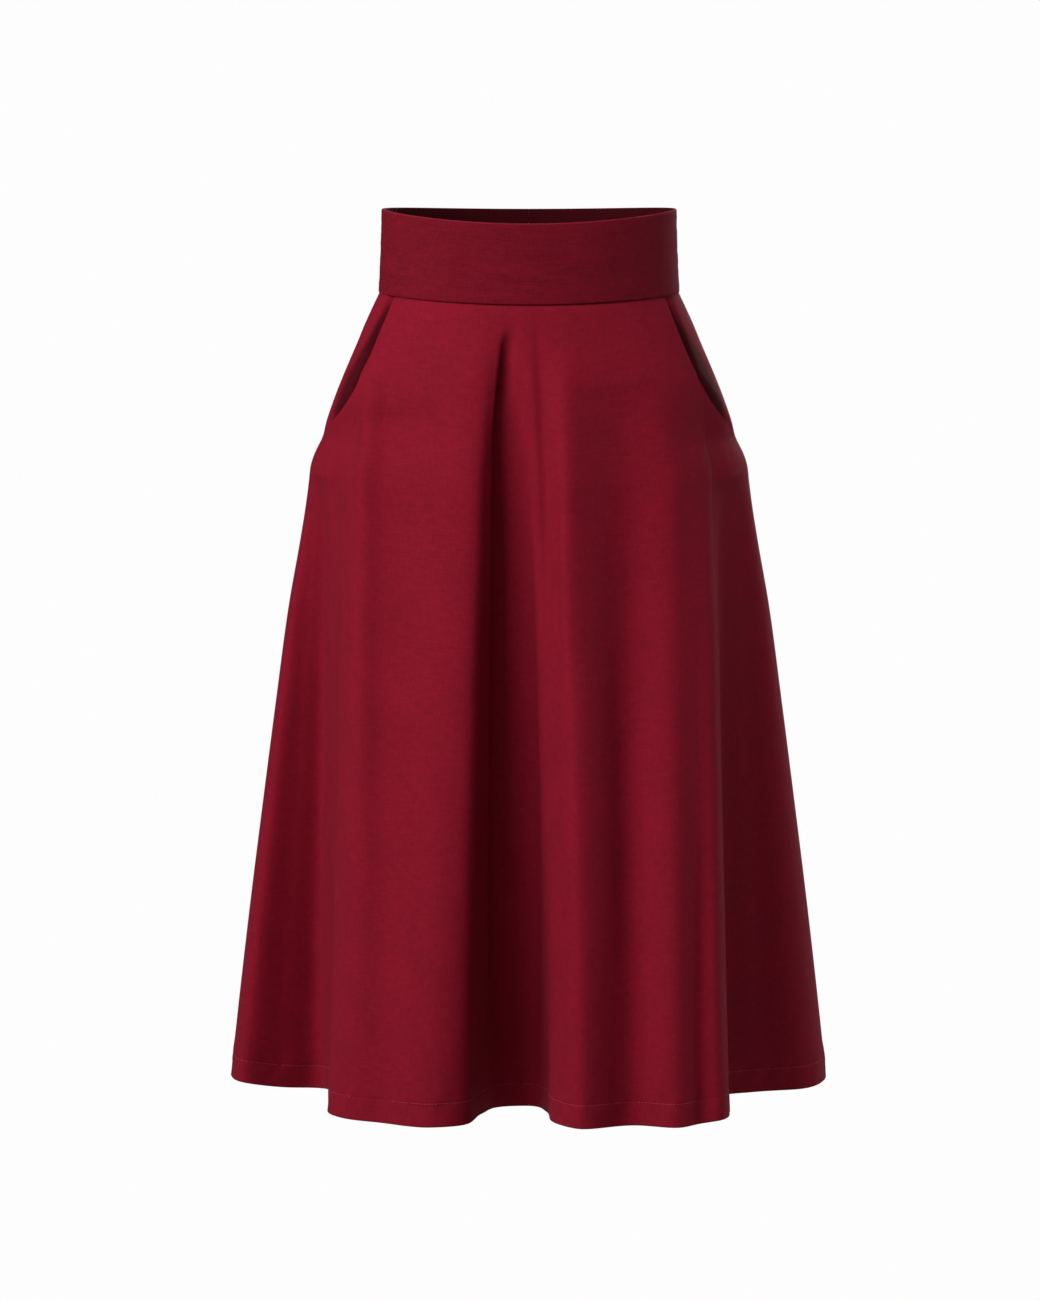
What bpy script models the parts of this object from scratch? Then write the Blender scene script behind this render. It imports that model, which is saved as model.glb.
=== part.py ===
"""Midi skirt in worn form: fitted waistband, curved hip pockets, flared panels in deep folds, concealed back zip.

Metres, +Z up. The origin is at the middle of the waistband's hollow, at half its height. The front faces -Y and
the wearer's left is +X. Turns are cloth degrees round the skirt: 0 at the front, 90 at the wearer's left side
seam, 180 at the back and -90 at the right side seam. A drop is measured down from the waist seam.
"""

import math

import bmesh
import bpy
import numpy as np

# Driving dimensions
BAND_HEIGHT = 0.069
RIM_HALF_WIDTH = 0.1212
SKIRT_LENGTH = 0.662
RIM_Z = BAND_HEIGHT / 2
SEAM_Z = -BAND_HEIGHT / 2
HEM_Z = SEAM_Z - SKIRT_LENGTH
RIM_DIP_FRONT = 0.008
RIM_DIP_BACK = 0.004
SEAM_DIP_FRONT = 0.005
SEAM_DIP_BACK = 0.004

CLOTH = 0.0012
BAG_CLOTH = 0.001
BAG_GAP = 0.0006
BAG_HANG = 0.0030
HEM_TURN_UP = 0.020
SEAM_GAP = 0.0003
BAND_PROUD = 0.0009
BAND_DEPTH = 0.0016
TAPE_DEPTH = 0.0019
TAPE_THICKNESS = 0.0008
TAPE_WIDTH = 0.012
ZIP_SLOT = 0.0013
ZIP_LENGTH = 0.165
MM = 0.001

# Half width of the skirt, and how far its plain form reaches to the front and to the back, by drop, all mm
PROFILE_COLUMNS = ("drop", "half_width", "front", "back")
PROFILE = (
    (0, 123.8, 89, 85),
    (12, 129.5, 92, 91),
    (25, 135.5, 95, 98),
    (40, 141.7, 99, 106),
    (56, 148.6, 103, 113),
    (73, 155.8, 107, 119),
    (90, 162.4, 110, 124),
    (107, 168.2, 112, 127),
    (122, 172.2, 114, 129),
    (127, 174.8, 114.5, 129.5),
    (134, 178.2, 115, 130),
    (143, 181.2, 116, 130.5),
    (157, 183.0, 117, 131),
    (175, 185.4, 118, 132),
    (207, 190.6, 121, 133),
    (257, 199.6, 126, 136),
    (340, 211.2, 136, 142),
    (420, 221.8, 146, 149),
    (505, 232.8, 156, 157),
    (590, 243.0, 164, 165),
    (662, 251.0, 170, 170),
)

# The lines that the cloth folds on. Where each meets the hem, the drop at which it begins, how it grows, and the
# turn at which it starts under the waistband, and how much lower than the plain hem it ends, in mm
FOLD_COLUMNS = ("name", "hem_x", "hem_y", "start", "growth", "top_turn", "hem_low")
FRONT_FOLDS = (
    ("right_side_seam", -251, 4, 120, 0.9, -90, -2.0),
    ("right_side_lobe", -240, -32, 150, 0.8, -86, -3.0),
    ("right_side_fall", -206, -18, 150, 0.7, -82, 4.0),
    ("right_side_valley", -180, -8, 150, 0.7, -78, 6.5),
    ("right_valley_rise", -168, -38, 150, 0.8, -75, 2.0),
    ("right_lobe_edge", -158, -106, 120, 0.9, -71, 0.0),
    ("right_lobe_corner", -164, -150, 70, 0.9, -66, 0.0),
    ("right_ridge", -148, -173, 50, 0.75, -61, 0.0),
    ("right_trough", -126, -181, 60, 1.1, -54, 0.8),
    ("right_crest", -80, -208, 50, 1.15, -33, 0.0),
    ("right_shoulder", -54, -199, 35, 0.9, -21, 0.0),
    ("right_flank", -39, -154, 30, 0.8, -13, 0.0),
    ("centre_valley", -20, -110, 24, 0.7, -9, 2.2),
    ("centre_floor", 2, -106, 24, 0.8, -5, 2.6),
    ("centre_step", 14, -138, 24, 0.9, -1, 1.4),
    ("left_lobe_edge", 20, -187, 60, 1.2, 5, 0.4),
    ("left_crest", 40, -214, 40, 0.8, 15, 0.0),
    ("left_trough", 85, -195, 75, 1.0, 36, 0.8),
    ("left_second_crest", 123, -208, 50, 0.8, 54, 0.0),
    ("left_outer_trough", 141, -194, 60, 0.9, 59, -0.8),
    ("left_outer_crest", 153, -194, 70, 0.9, 64, -2.8),
    ("left_far_edge", 164, -150, 110, 0.8, 68, -0.6),
    ("left_side_valley", 156, -76, 150, 0.7, 75, 0.0),
    ("left_side_lobe", 190, -58, 150, 0.7, 80, 0.0),
    ("left_side_corner", 232, -42, 140, 0.9, 85, 0.0),
)
BACK_FOLDS = (
    ("left_side_seam", 250.5, 8, 120, 1.0, 90, 0.0),
    ("back_left_side_lobe", 224, 66, 140, 1.0, 98, 0.0),
    ("back_left_side_valley", 166, 84, 130, 1.0, 109, 0.0),
    ("back_left_edge", 164, 138, 110, 1.0, 119, 0.0),
    ("back_left_crest", 122, 198, 70, 1.0, 134, 0.0),
    ("back_left_shoulder", 84, 196, 60, 1.0, 146, 0.0),
    ("back_left_valley", 62, 146, 60, 0.9, 156, 0.0),
    ("back_centre_left", 36, 172, 50, 1.0, 166, 0.0),
    ("back_centre", 2, 206, 40, 1.0, 180, 0.0),
    ("back_centre_right", -34, 186, 50, 1.0, 193, 0.0),
    ("back_right_valley", -62, 142, 60, 0.9, 204, 0.0),
    ("back_right_shoulder", -86, 188, 60, 1.0, 215, 0.0),
    ("back_right_crest", -126, 200, 70, 1.0, 227, 0.0),
    ("back_right_edge", -166, 140, 110, 1.0, 242, 0.0),
    ("back_right_side_valley", -168, 88, 130, 1.0, 252, 0.0),
    ("back_right_side_lobe", -222, 64, 140, 1.0, 262, 0.0),
)
ALL_FOLDS = FRONT_FOLDS + BACK_FOLDS

# The curved edge of the front at each pocket, by drop: its plan angle from the front and how far it stands off
POCKET_COLUMNS = ("drop", "plan_angle", "stand_off")
POCKET_EDGE = (
    (0, 64.0, 0.0),
    (10, 62.5, 1.2),
    (28, 60.5, 4.0),
    (45, 59.5, 6.5),
    (62, 59.5, 8.0),
    (78, 61.0, 8.0),
    (92, 65.0, 6.2),
    (104, 71.5, 3.6),
    (113, 79.5, 1.4),
    (120, 90.0, 0.0),
)
POCKET_DEPTH = 0.120
LIFT_REACH = 34.0

# How the hip piece falls away behind the front's edge: its depth as a share of the gape, the turns that it takes,
# and at most this share of the way to the side seam
DIP_SHARE = 1.5
DIP_REACH = 18.0
DIP_LIMIT = 0.85

# Outline of the pocket bag below and behind the opening, by drop: turns short of the side seam, and towards the
# front
BAG_COLUMNS = ("drop", "outer_turn", "inner_turn", "bag_hollow")
BAG_OUTLINE = (
    (0, 90.0, 34.0, 0.0),
    (30, 90.0, 32.0, 3.0),
    (60, 90.0, 31.0, 6.5),
    (90, 90.0, 31.0, 9.0),
    (112, 90.0, 31.5, 9.0),
    (122, 86.5, 32.0, 8.5),
    (150, 85.0, 33.5, 7.0),
    (185, 82.0, 37.0, 5.0),
    (215, 75.0, 43.0, 2.5),
    (235, 69.0, 51.0, 0.0),
)


def column(table, columns, name):
    index = columns.index(name)
    return np.array([row[index] for row in table], float)


def smooth(knots, values, at):
    """A curve through unevenly spaced points that keeps to their shape, one value or vector for each knot."""
    knots = np.asarray(knots, float)
    values = np.asarray(values, float)
    at = np.asarray(at, float)
    flat = values.ndim == 1
    if flat:
        values = values[:, None]
    step = np.diff(knots)[:, None]
    slope = np.diff(values, axis=0) / step
    tangent = np.empty_like(values)
    tangent[0] = slope[0]
    tangent[-1] = slope[-1]
    tangent[1:-1] = (slope[:-1] * step[1:] + slope[1:] * step[:-1]) / (step[:-1] + step[1:])
    index = np.clip(np.searchsorted(knots, at) - 1, 0, len(knots) - 2)
    width = step[index]
    t = ((at - knots[index])[:, None]) / width
    t = np.clip(t, 0.0, 1.0)
    result = (
        (2 * t**3 - 3 * t**2 + 1) * values[index]
        + (t**3 - 2 * t**2 + t) * width * tangent[index]
        + (3 * t**2 - 2 * t**3) * values[index + 1]
        + (t**3 - t**2) * width * tangent[index + 1]
    )
    return result[:, 0] if flat else result


PROFILE_DROP = column(PROFILE, PROFILE_COLUMNS, "drop") * MM
PROFILE_SIZES = np.stack(
    [column(PROFILE, PROFILE_COLUMNS, name) * MM for name in ("half_width", "front", "back")], axis=1
)


def form_sizes(drop):
    """Half width, front reach and back reach of the plain form; above the waist seam it is the waistband's."""
    if drop >= 0:
        return smooth(PROFILE_DROP, PROFILE_SIZES, [drop])[0]
    rise = -drop / BAND_HEIGHT
    top = np.array([RIM_HALF_WIDTH, 0.0872, 0.0832])
    seam = PROFILE_SIZES[0]
    return seam + (top - seam) * (1 - max(1 - rise, 0.0) ** 1.6)


def plan_angles(turns, drop):
    """Plan angle of the plain form's ellipse at each cloth turn, evenly spaced along the cloth of each half."""
    half_width, front, back = form_sizes(drop)
    turns = np.asarray(turns, float)
    result = np.empty_like(turns)
    for low, reach in ((-90.0, front), (90.0, back)):
        sample = np.radians(np.linspace(low, low + 180.0, 145))
        x = half_width * np.sin(sample)
        y = -reach * np.cos(sample)
        length = np.concatenate([[0.0], np.cumsum(np.hypot(np.diff(x), np.diff(y)))])
        share = (turns - low) / 180.0
        inside = (share >= 0) & (share <= 1)
        result[inside] = np.interp(share[inside] * length[-1], length, sample)
    return result


def form_points(turns, drop):
    turns = (np.asarray(turns, float) + 90.0) % 360.0 - 90.0
    half_width, front, back = form_sizes(drop)
    angle = plan_angles(turns, drop)
    reach = np.where(np.cos(angle) > 0, front, back)
    return np.stack([half_width * np.sin(angle), -reach * np.cos(angle)], axis=1), angle


def fold_columns():
    """Turn at the hem of each fold line, from the lengths of hem between them, and its offset from the form."""
    hem = np.stack([column(ALL_FOLDS, FOLD_COLUMNS, name) for name in ("hem_x", "hem_y")], axis=1) * MM
    chord = np.hypot(*np.diff(np.vstack([hem, hem[:1]]), axis=0).T)
    names = [row[0] for row in ALL_FOLDS]
    marks = [0, len(FRONT_FOLDS), names.index("back_centre"), len(ALL_FOLDS)]
    turns = []
    for first, last, start, end in zip(marks[:-1], marks[1:], (-90.0, 90.0, 180.0), (90.0, 180.0, 270.0)):
        along = np.concatenate([[0.0], np.cumsum(chord[first:last])])
        turns += list(start + (end - start) * along[:-1] / along[-1])
    plain, _ = form_points(turns, SKIRT_LENGTH)
    return np.array(turns), hem - plain, chord.sum()


FOLD_TURNS, FOLD_OFFSETS, HEM_ROUND = fold_columns()
FOLD_START = column(ALL_FOLDS, FOLD_COLUMNS, "start") * MM
FOLD_GROWTH = column(ALL_FOLDS, FOLD_COLUMNS, "growth")
FOLD_LOW = column(ALL_FOLDS, FOLD_COLUMNS, "hem_low") * MM
FOLD_LEAN = column(ALL_FOLDS, FOLD_COLUMNS, "top_turn") - FOLD_TURNS


def wrapped(values, shift=0.0):
    """Repeats the fold lines before and after, so that a curve through them closes on itself."""
    return np.concatenate([values - shift, values, values + shift])


def skirt_ring(columns, drop):
    """Points of the cloth's outer face at one drop. A column follows the fold lines down to its turn at the hem."""
    columns = (np.asarray(columns, float) + 90.0) % 360.0 - 90.0
    down = min(max(drop / SKIRT_LENGTH, 0.0), 1.0)
    knots = wrapped(FOLD_TURNS, 360.0)
    lean = smooth(knots, wrapped(FOLD_LEAN), columns)
    turns = columns + lean * (1 - down) ** 1.5
    points, angle = form_points(turns, drop)
    grown = np.clip((drop - FOLD_START) / (SKIRT_LENGTH - FOLD_START), 0.0, 1.0) ** FOLD_GROWTH
    points += smooth(knots, wrapped(FOLD_OFFSETS * grown[:, None]), columns)
    facing = np.cos(angle)
    seam_dip = np.where(facing > 0, SEAM_DIP_FRONT, SEAM_DIP_BACK) * facing**2
    rim_dip = np.where(facing > 0, RIM_DIP_FRONT, RIM_DIP_BACK) * facing**2
    if drop >= 0:
        level = (SEAM_Z - seam_dip) * (1 - down) + HEM_Z * down
        level -= smooth(knots, wrapped(FOLD_LOW), columns) * down**3
    else:
        rise = -drop / BAND_HEIGHT
        level = (SEAM_Z - seam_dip) * (1 - rise) + (RIM_Z - rim_dip) * rise
    return np.column_stack([points, level])


def skirt_normals(columns, drop):
    """Outward directions of the cloth there."""
    columns = np.asarray(columns, float)
    across = skirt_ring(columns + 0.05, drop) - skirt_ring(columns - 0.05, drop)
    step = 0.0005
    down = skirt_ring(columns, drop + step) - skirt_ring(columns, drop - step)
    normal = np.cross(down, across)
    return normal / np.linalg.norm(normal, axis=1)[:, None]


def pocket_row(table, columns, drop, names):
    drops = column(table, columns, "drop") * MM
    return [float(smooth(drops, column(table, columns, name), [drop])[0]) for name in names]


def columns_at(turns, drop):
    """The columns that pass these cloth turns at this drop."""
    columns = np.linspace(-90.0, 270.0, 721)
    down = min(max(drop / SKIRT_LENGTH, 0.0), 1.0)
    lean = smooth(wrapped(FOLD_TURNS, 360.0), wrapped(FOLD_LEAN), columns)
    return np.interp(turns, columns + lean * (1 - down) ** 1.5, columns)


def pocket_edge_column(drop, side):
    """The column of the front's edge beside the pocket opening, or of the side seam below it."""
    if drop >= POCKET_DEPTH:
        return side * 90.0
    angle, _ = pocket_row(POCKET_EDGE, POCKET_COLUMNS, drop, ("plan_angle", "stand_off"))
    turns = np.linspace(-90.0, 90.0, 361)
    turn = float(np.interp(math.radians(angle), plan_angles(turns, drop), turns))
    return float(columns_at(side * turn, drop))


def stand_off(columns, drop):
    """How far the front is eased out beside the pocket openings, which gape a little."""
    result = np.zeros(len(columns))
    if drop >= POCKET_DEPTH:
        return result
    _, most = pocket_row(POCKET_EDGE, POCKET_COLUMNS, drop, ("plan_angle", "stand_off"))
    for side in (-1, 1):
        edge = pocket_edge_column(drop, side)
        away = np.clip(side * (edge - np.asarray(columns)) / LIFT_REACH, 0.0, 1.0)
        result += np.where(side * np.asarray(columns) > 0, most * MM * (1 - away) ** 2 * (1 + 2 * away), 0.0)
    return result


def layer(columns, drop, depth, eased=None):
    """Points that lie a given depth inside the cloth's outer face."""
    columns = np.asarray(columns, float)
    out = -np.asarray(depth) + (0.0 if eased is None else eased)
    return skirt_ring(columns, drop) + skirt_normals(columns, drop) * np.reshape(out, (-1, 1))


def material(name, colour, roughness, metallic=0.0):
    made = bpy.data.materials.new(name)
    made.use_nodes = True
    shader = made.node_tree.nodes["Principled BSDF"]
    shader.inputs["Base Color"].default_value = (*colour, 1.0)
    shader.inputs["Roughness"].default_value = roughness
    shader.inputs["Metallic"].default_value = metallic
    made.diffuse_color = (*colour, 1.0)
    return made


def add_object(name, mesh, colour, roughness, metallic=0.0):
    obj = bpy.data.objects.new(name, mesh)
    mesh.materials.append(material(name, colour, roughness, metallic))
    mesh.shade_smooth()
    mesh.set_sharp_from_angle(angle=math.radians(40))
    PARTS.objects.link(obj)
    return obj


def loft(name, rings, colour=(0.25, 0.012, 0.026), roughness=0.85):
    """A cloth wall from rings of points, top to bottom: each ring is its outer row, then its inner row reversed."""
    work = bmesh.new()
    rows = [[work.verts.new(tuple(point)) for point in ring] for ring in rings]
    size = len(rows[0])
    half = size // 2
    for upper, lower in zip(rows[:-1], rows[1:]):
        for i in range(size):
            j = (i + 1) % size
            work.faces.new((upper[i], upper[j], lower[j], lower[i]))
    for ring, turned in ((rows[0], False), (rows[-1], True)):
        for i in range(half - 1):
            face = (ring[i], ring[size - 1 - i], ring[size - 2 - i], ring[i + 1])
            work.faces.new(face[::-1] if turned else face)
    bmesh.ops.recalc_face_normals(work, faces=work.faces)
    bmesh.ops.triangulate(work, faces=work.faces)
    mesh = bpy.data.meshes.new(name)
    work.to_mesh(mesh)
    work.free()
    return add_object(name, mesh, colour, roughness)


def ring_between(outer, inner):
    return np.vstack([outer, inner[::-1]])


def fold_steps(first, last, share):
    """Columns from one turn to another: each fold line between them, and evenly spaced ones between those."""
    lines = wrapped(FOLD_TURNS, 360.0)
    lines = [first] + [t for t in lines if first + 2.0 < t < last - 2.0] + [last]
    steps = [first]
    for a, b in zip(lines[:-1], lines[1:]):
        count = max(1, round((b - a) / share))
        steps += [a + (b - a) * (i + 1) / count for i in range(count)]
    return np.array(steps)


def hem_depth(drop):
    """The cloth is double where the hem is turned up inside."""
    return 2 * CLOTH if drop > SKIRT_LENGTH - HEM_TURN_UP + 0.001 else CLOTH


def hem_rows():
    return [SKIRT_LENGTH - HEM_TURN_UP, SKIRT_LENGTH - HEM_TURN_UP + 0.0015, SKIRT_LENGTH]


def degree_length(drop):
    """Cloth in one degree of turn."""
    half_width, front, back = form_sizes(drop)
    return math.pi * (half_width + 0.5 * (front + back)) / 2 / 180.0


def seam_shift(drop):
    """Half the seam's gap, in cloth degrees."""
    return 0.5 * SEAM_GAP / degree_length(max(drop, 0.0))


# Rows of the front down to the bottom of the pocket bags, and below them
POCKET_ROWS = [SEAM_GAP, 0.016, 0.034, 0.050, 0.064, 0.078, 0.088, 0.098, 0.107, 0.114, 0.1198, 0.130, 0.145]
POCKET_ROWS += [0.172, 0.205, 0.235]
LOWER_ROWS = [0.285, 0.340, 0.400, 0.460, 0.520, 0.580, 0.620]
PLAIN_TURNS = 38.0


def front_columns(drop):
    """Between the pocket openings the columns run straight down; beside them they follow the curved edges."""
    steps = fold_steps(-90.0, 90.0, 5.6)
    columns = steps.copy()
    for side in (-1, 1):
        edge = side * pocket_edge_column(drop, side) - seam_shift(drop)
        beside = side * steps > PLAIN_TURNS
        share = (side * steps[beside] - PLAIN_TURNS) / (90.0 - PLAIN_TURNS)
        columns[beside] = side * (PLAIN_TURNS + share * (edge - PLAIN_TURNS))
    return columns


def front_facets(columns, drop, depth, eased):
    """Points on the front's own facets, moved in, and on the plain form where the front is cut away."""
    own = front_columns(drop)
    normals = skirt_normals(own, drop)
    base = skirt_ring(own, drop)
    if eased:
        base = base + normals * stand_off(own, drop)[:, None]
    flat_base, flat_normals = (
        np.stack([np.interp(columns, own, values[:, k]) for k in range(3)], axis=1) for values in (base, normals)
    )
    flat = flat_base - flat_normals * np.reshape(depth, (-1, 1))
    covered = (columns >= own[0]) & (columns <= own[-1])
    return np.where(covered[:, None], flat, layer(columns, drop, depth))


def build_front():
    rings = []
    for drop in POCKET_ROWS + LOWER_ROWS + hem_rows():
        columns = front_columns(drop)
        eased = stand_off(columns, drop)
        rings.append(ring_between(layer(columns, drop, 0.0, eased), layer(columns, drop, hem_depth(drop), eased)))
    return loft("front_panel", rings)


# Rows that the backs and the zip tapes share, so that the tapes lie flat on them
ZIP_ROWS = [0.020, 0.045, 0.075, 0.105, 0.135, ZIP_LENGTH]


def back_steps(first, last):
    return fold_steps(first, last, 6.0)


def build_back(name, first, last):
    drops = [SEAM_GAP] + ZIP_ROWS + [0.215, 0.270, 0.335, 0.400, 0.465, 0.530, 0.590] + hem_rows()
    steps = back_steps(first, last)
    rings = []
    for drop in drops:
        gap = seam_shift(drop)
        columns = steps.copy()
        columns[0] += gap
        columns[-1] -= gap
        rings.append(ring_between(layer(columns, drop, 0.0), layer(columns, drop, hem_depth(drop))))
    return loft(name, rings)


# Section of the folded waistband: share of its height from the seam up, and place through its thickness
BAND_COLUMNS = ("height", "through")
BAND_SECTION = (
    (0.000, 0.20),
    (0.018, 0.00),
    (0.300, 0.02),
    (0.600, 0.03),
    (0.655, 0.03),
    (0.737, 0.03),
    (0.790, 0.03),
    (0.962, 0.05),
    (0.988, 0.22),
    (1.000, 0.50),
    (0.988, 0.78),
    (0.962, 0.97),
    (0.790, 0.98),
    (0.737, 0.98),
    (0.655, 0.98),
    (0.600, 0.98),
    (0.300, 0.99),
    (0.018, 1.00),
    (0.000, 0.80),
)


# Half of the gap between the waistband's ends at the centre back: they part round the slider's neck
LIP_COLUMNS = ("height", "half_gap")
LIPS = (
    (0.000, 0.15),
    (0.600, 0.15),
    (0.655, 1.30),
    (0.737, 1.30),
    (0.790, 0.15),
    (1.000, 0.15),
)


def lip_gap(height):
    gap = np.interp(height, column(LIPS, LIP_COLUMNS, "height"), column(LIPS, LIP_COLUMNS, "half_gap"))
    return float(gap) * MM


def build_band(name, first, last, count):
    """A length of waistband, swept round the waist between a side seam and the centre back or the other side."""
    work = bmesh.new()
    loops = []
    for height, through in BAND_SECTION:
        drop = -height * BAND_HEIGHT
        turns = np.linspace(first, last, count + 1)
        for end, inward in ((0, 1), (-1, -1)):
            gap = lip_gap(height) if turns[end] == 180.0 else SEAM_GAP / 2
            turns[end] += inward * gap / degree_length(drop)
        depth = -BAND_PROUD + through * (BAND_PROUD + BAND_DEPTH)
        loops.append(layer(columns_at(turns, 0.0), drop, depth))
    columns = range(count + 1)
    sections = [[work.verts.new(tuple(loop[i])) for loop in loops] for i in columns]
    size = len(BAND_SECTION)
    for one, two in zip(sections[:-1], sections[1:]):
        for i in range(size):
            j = (i + 1) % size
            work.faces.new((one[i], one[j], two[j], two[i]))
    crown = size // 2
    for section, turned in ((sections[0], False), (sections[-1], True)):
        faces = [(section[i], section[size - 1 - i], section[size - 2 - i], section[i + 1]) for i in range(crown - 1)]
        faces.append((section[crown - 1], section[crown + 1], section[crown]))
        for face in faces:
            work.faces.new(face[::-1] if turned else face)
    bmesh.ops.recalc_face_normals(work, faces=work.faces)
    bmesh.ops.triangulate(work, faces=work.faces)
    mesh = bpy.data.meshes.new(name)
    work.to_mesh(mesh)
    work.free()
    return add_object(name, mesh, (0.22, 0.011, 0.024), 0.8)


def bag_edges(drop, side):
    outer, inner, hollow = pocket_row(BAG_OUTLINE, BAG_COLUMNS, drop, ("outer_turn", "inner_turn", "bag_hollow"))
    outer = min(outer, 90.0)
    return float(columns_at(side * outer, drop)), float(columns_at(side * inner, drop)), hollow * MM


def bag_hang(drop):
    """Below the opening the bag hangs a little clear of the front."""
    share = min(max((drop - 0.10) / 0.08, 0.0), 1.0)
    return BAG_HANG * share


def pocket_dip(drop):
    """How deep the hip piece falls away behind the opening's edge."""
    if not 0 < drop < POCKET_DEPTH:
        return 0.0
    return DIP_SHARE * pocket_row(POCKET_EDGE, POCKET_COLUMNS, drop, ("stand_off",))[0] * MM


def fallen(columns, drop, side):
    """From 0 on the hip to 1 behind the front: how far the hip piece has fallen into the pocket."""
    if drop >= POCKET_DEPTH:
        return np.ones(len(columns))
    edge = pocket_edge_column(drop, side)
    span = min(DIP_REACH, DIP_LIMIT * max(90.0 - side * edge, 0.5))
    behind = np.clip(1.0 - side * (columns - edge) / span, 0.0, 1.0)
    return behind**2 * (3 - 2 * behind)


def build_hip_piece(name, side):
    """The strip seen in the pocket opening, which runs on behind the front as the back of the bag."""
    shares = np.linspace(0.0, 1.0, 21)
    rings = []
    for drop in POCKET_ROWS:
        outer, inner, hollow = bag_edges(drop, side)
        if drop < POCKET_DEPTH:
            outer -= side * seam_shift(drop)
        columns = outer + (inner - outer) * shares
        edge = pocket_edge_column(drop, side)
        under = CLOTH + BAG_CLOTH + 2 * BAG_GAP + bag_hang(drop)
        sewn = edge if drop < POCKET_DEPTH else outer
        reach = np.clip(side * (sewn - columns) / (side * (sewn - inner)), 0.0, 1.0)
        inside = side * (edge - columns) > 0
        sag = np.where(inside, hollow * np.sin(math.pi * reach) ** 0.8, 0.0)
        depth = (under + pocket_dip(drop) * (1 - reach) ** 1.5) * fallen(columns, drop, side) + sag
        rings.append(
            ring_between(
                front_facets(columns, drop, depth, False), front_facets(columns, drop, depth + BAG_CLOTH, False)
            )
        )
    return loft(name, rings, (0.2, 0.01, 0.021), 0.85)


def build_bag(name, side):
    """The front of the pocket bag, which hangs from the edge of the opening behind the front."""
    shares = np.linspace(0.0, 1.0, 17)
    rings = []
    for drop in POCKET_ROWS:
        outer, inner, _ = bag_edges(drop, side)
        if drop < POCKET_DEPTH:
            outer = side * min(side * pocket_edge_column(drop, side) - 1.2, 85.5)
        columns = outer + (inner - outer) * shares
        depth = np.full(len(columns), CLOTH + BAG_GAP + bag_hang(drop))
        rings.append(
            ring_between(
                front_facets(columns, drop, depth, True), front_facets(columns, drop, depth + BAG_CLOTH, True)
            )
        )
    return loft(name, rings, (0.16, 0.008, 0.017), 0.9)


def build_tape(name, side):
    """One tape of the concealed zip, flat against the first facet of its half of the back."""
    nearest = back_steps(90.0, 180.0)[-2] if side > 0 else back_steps(180.0, 270.0)[1]
    drops = [-BAND_HEIGHT * height for height in (0.787, 0.737, 0.600, 0.300, 0.018)] + ZIP_ROWS
    rings = []
    for drop in drops:
        rows = []
        for depth in (TAPE_DEPTH, TAPE_DEPTH + TAPE_THICKNESS):
            seam, beside = layer([180.0, nearest], drop, depth + (0.0002 if drop > 0 else 0.0))
            along = (beside - seam) / np.linalg.norm(beside - seam)
            rows.append(seam + np.outer([ZIP_SLOT, ZIP_SLOT + TAPE_WIDTH / 2, ZIP_SLOT + TAPE_WIDTH], along))
        rings.append(ring_between(*rows))
    return loft(name, rings, (0.13, 0.007, 0.014), 0.7)


# Slider and pull tab of the zip, mm from the hinge's axis: the tab hangs from a lug on the slider
HINGE_BELOW_RIM = 0.021
HINGE_OUT = 0.0028
LUG_RADIUS = 0.0020
LUG_HOLE = 0.0011
LUG_HALF = 0.0010
SLIDER_WIDTH = 0.0072
SLIDER_HEIGHT = 0.0100
SLIDER_THICKNESS = 0.0022
PULL_THICKNESS = 0.0010
PULL_BAR = 0.0006
PULL_WINDOW_HALF = 0.0015
PULL_WINDOW_DROP = 0.0028
PULL_LENGTH = 0.0190
PULL_NECK_HALF = 0.0026
PULL_HALF_WIDTH = 0.0036
METAL = (0.28, 0.02, 0.035)


def flat_outline(name, outlines, half_thickness):
    """A plate from closed outlines in the object's own XY plane; the second outline is a hole."""
    data = bpy.data.curves.new(name, "CURVE")
    data.dimensions = "2D"
    data.fill_mode = "BOTH"
    data.extrude = half_thickness
    for outline in outlines:
        spline = data.splines.new("POLY")
        spline.points.add(len(outline) - 1)
        spline.use_cyclic_u = True
        for point, (x, y) in zip(spline.points, outline):
            point.co = (x, y, 0.0, 1.0)
    curve = bpy.data.objects.new(name + "_outline", data)
    bpy.context.scene.collection.objects.link(curve)
    bpy.context.view_layer.update()
    mesh = bpy.data.meshes.new_from_object(curve.evaluated_get(bpy.context.evaluated_depsgraph_get()))
    bpy.data.objects.remove(curve)
    work = bmesh.new()
    work.from_mesh(mesh)
    bmesh.ops.remove_doubles(work, verts=work.verts, dist=1e-6)
    bmesh.ops.recalc_face_normals(work, faces=work.faces)
    work.to_mesh(mesh)
    work.free()
    mesh.name = name
    return mesh


def hinge_point():
    rim = skirt_ring([180.0], -BAND_HEIGHT)[0]
    face = layer([180.0], -BAND_HEIGHT + HINGE_BELOW_RIM, -BAND_PROUD)[0]
    return (0.0, float(face[1]) + HINGE_OUT, float(rim[2]) - HINGE_BELOW_RIM)


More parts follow.
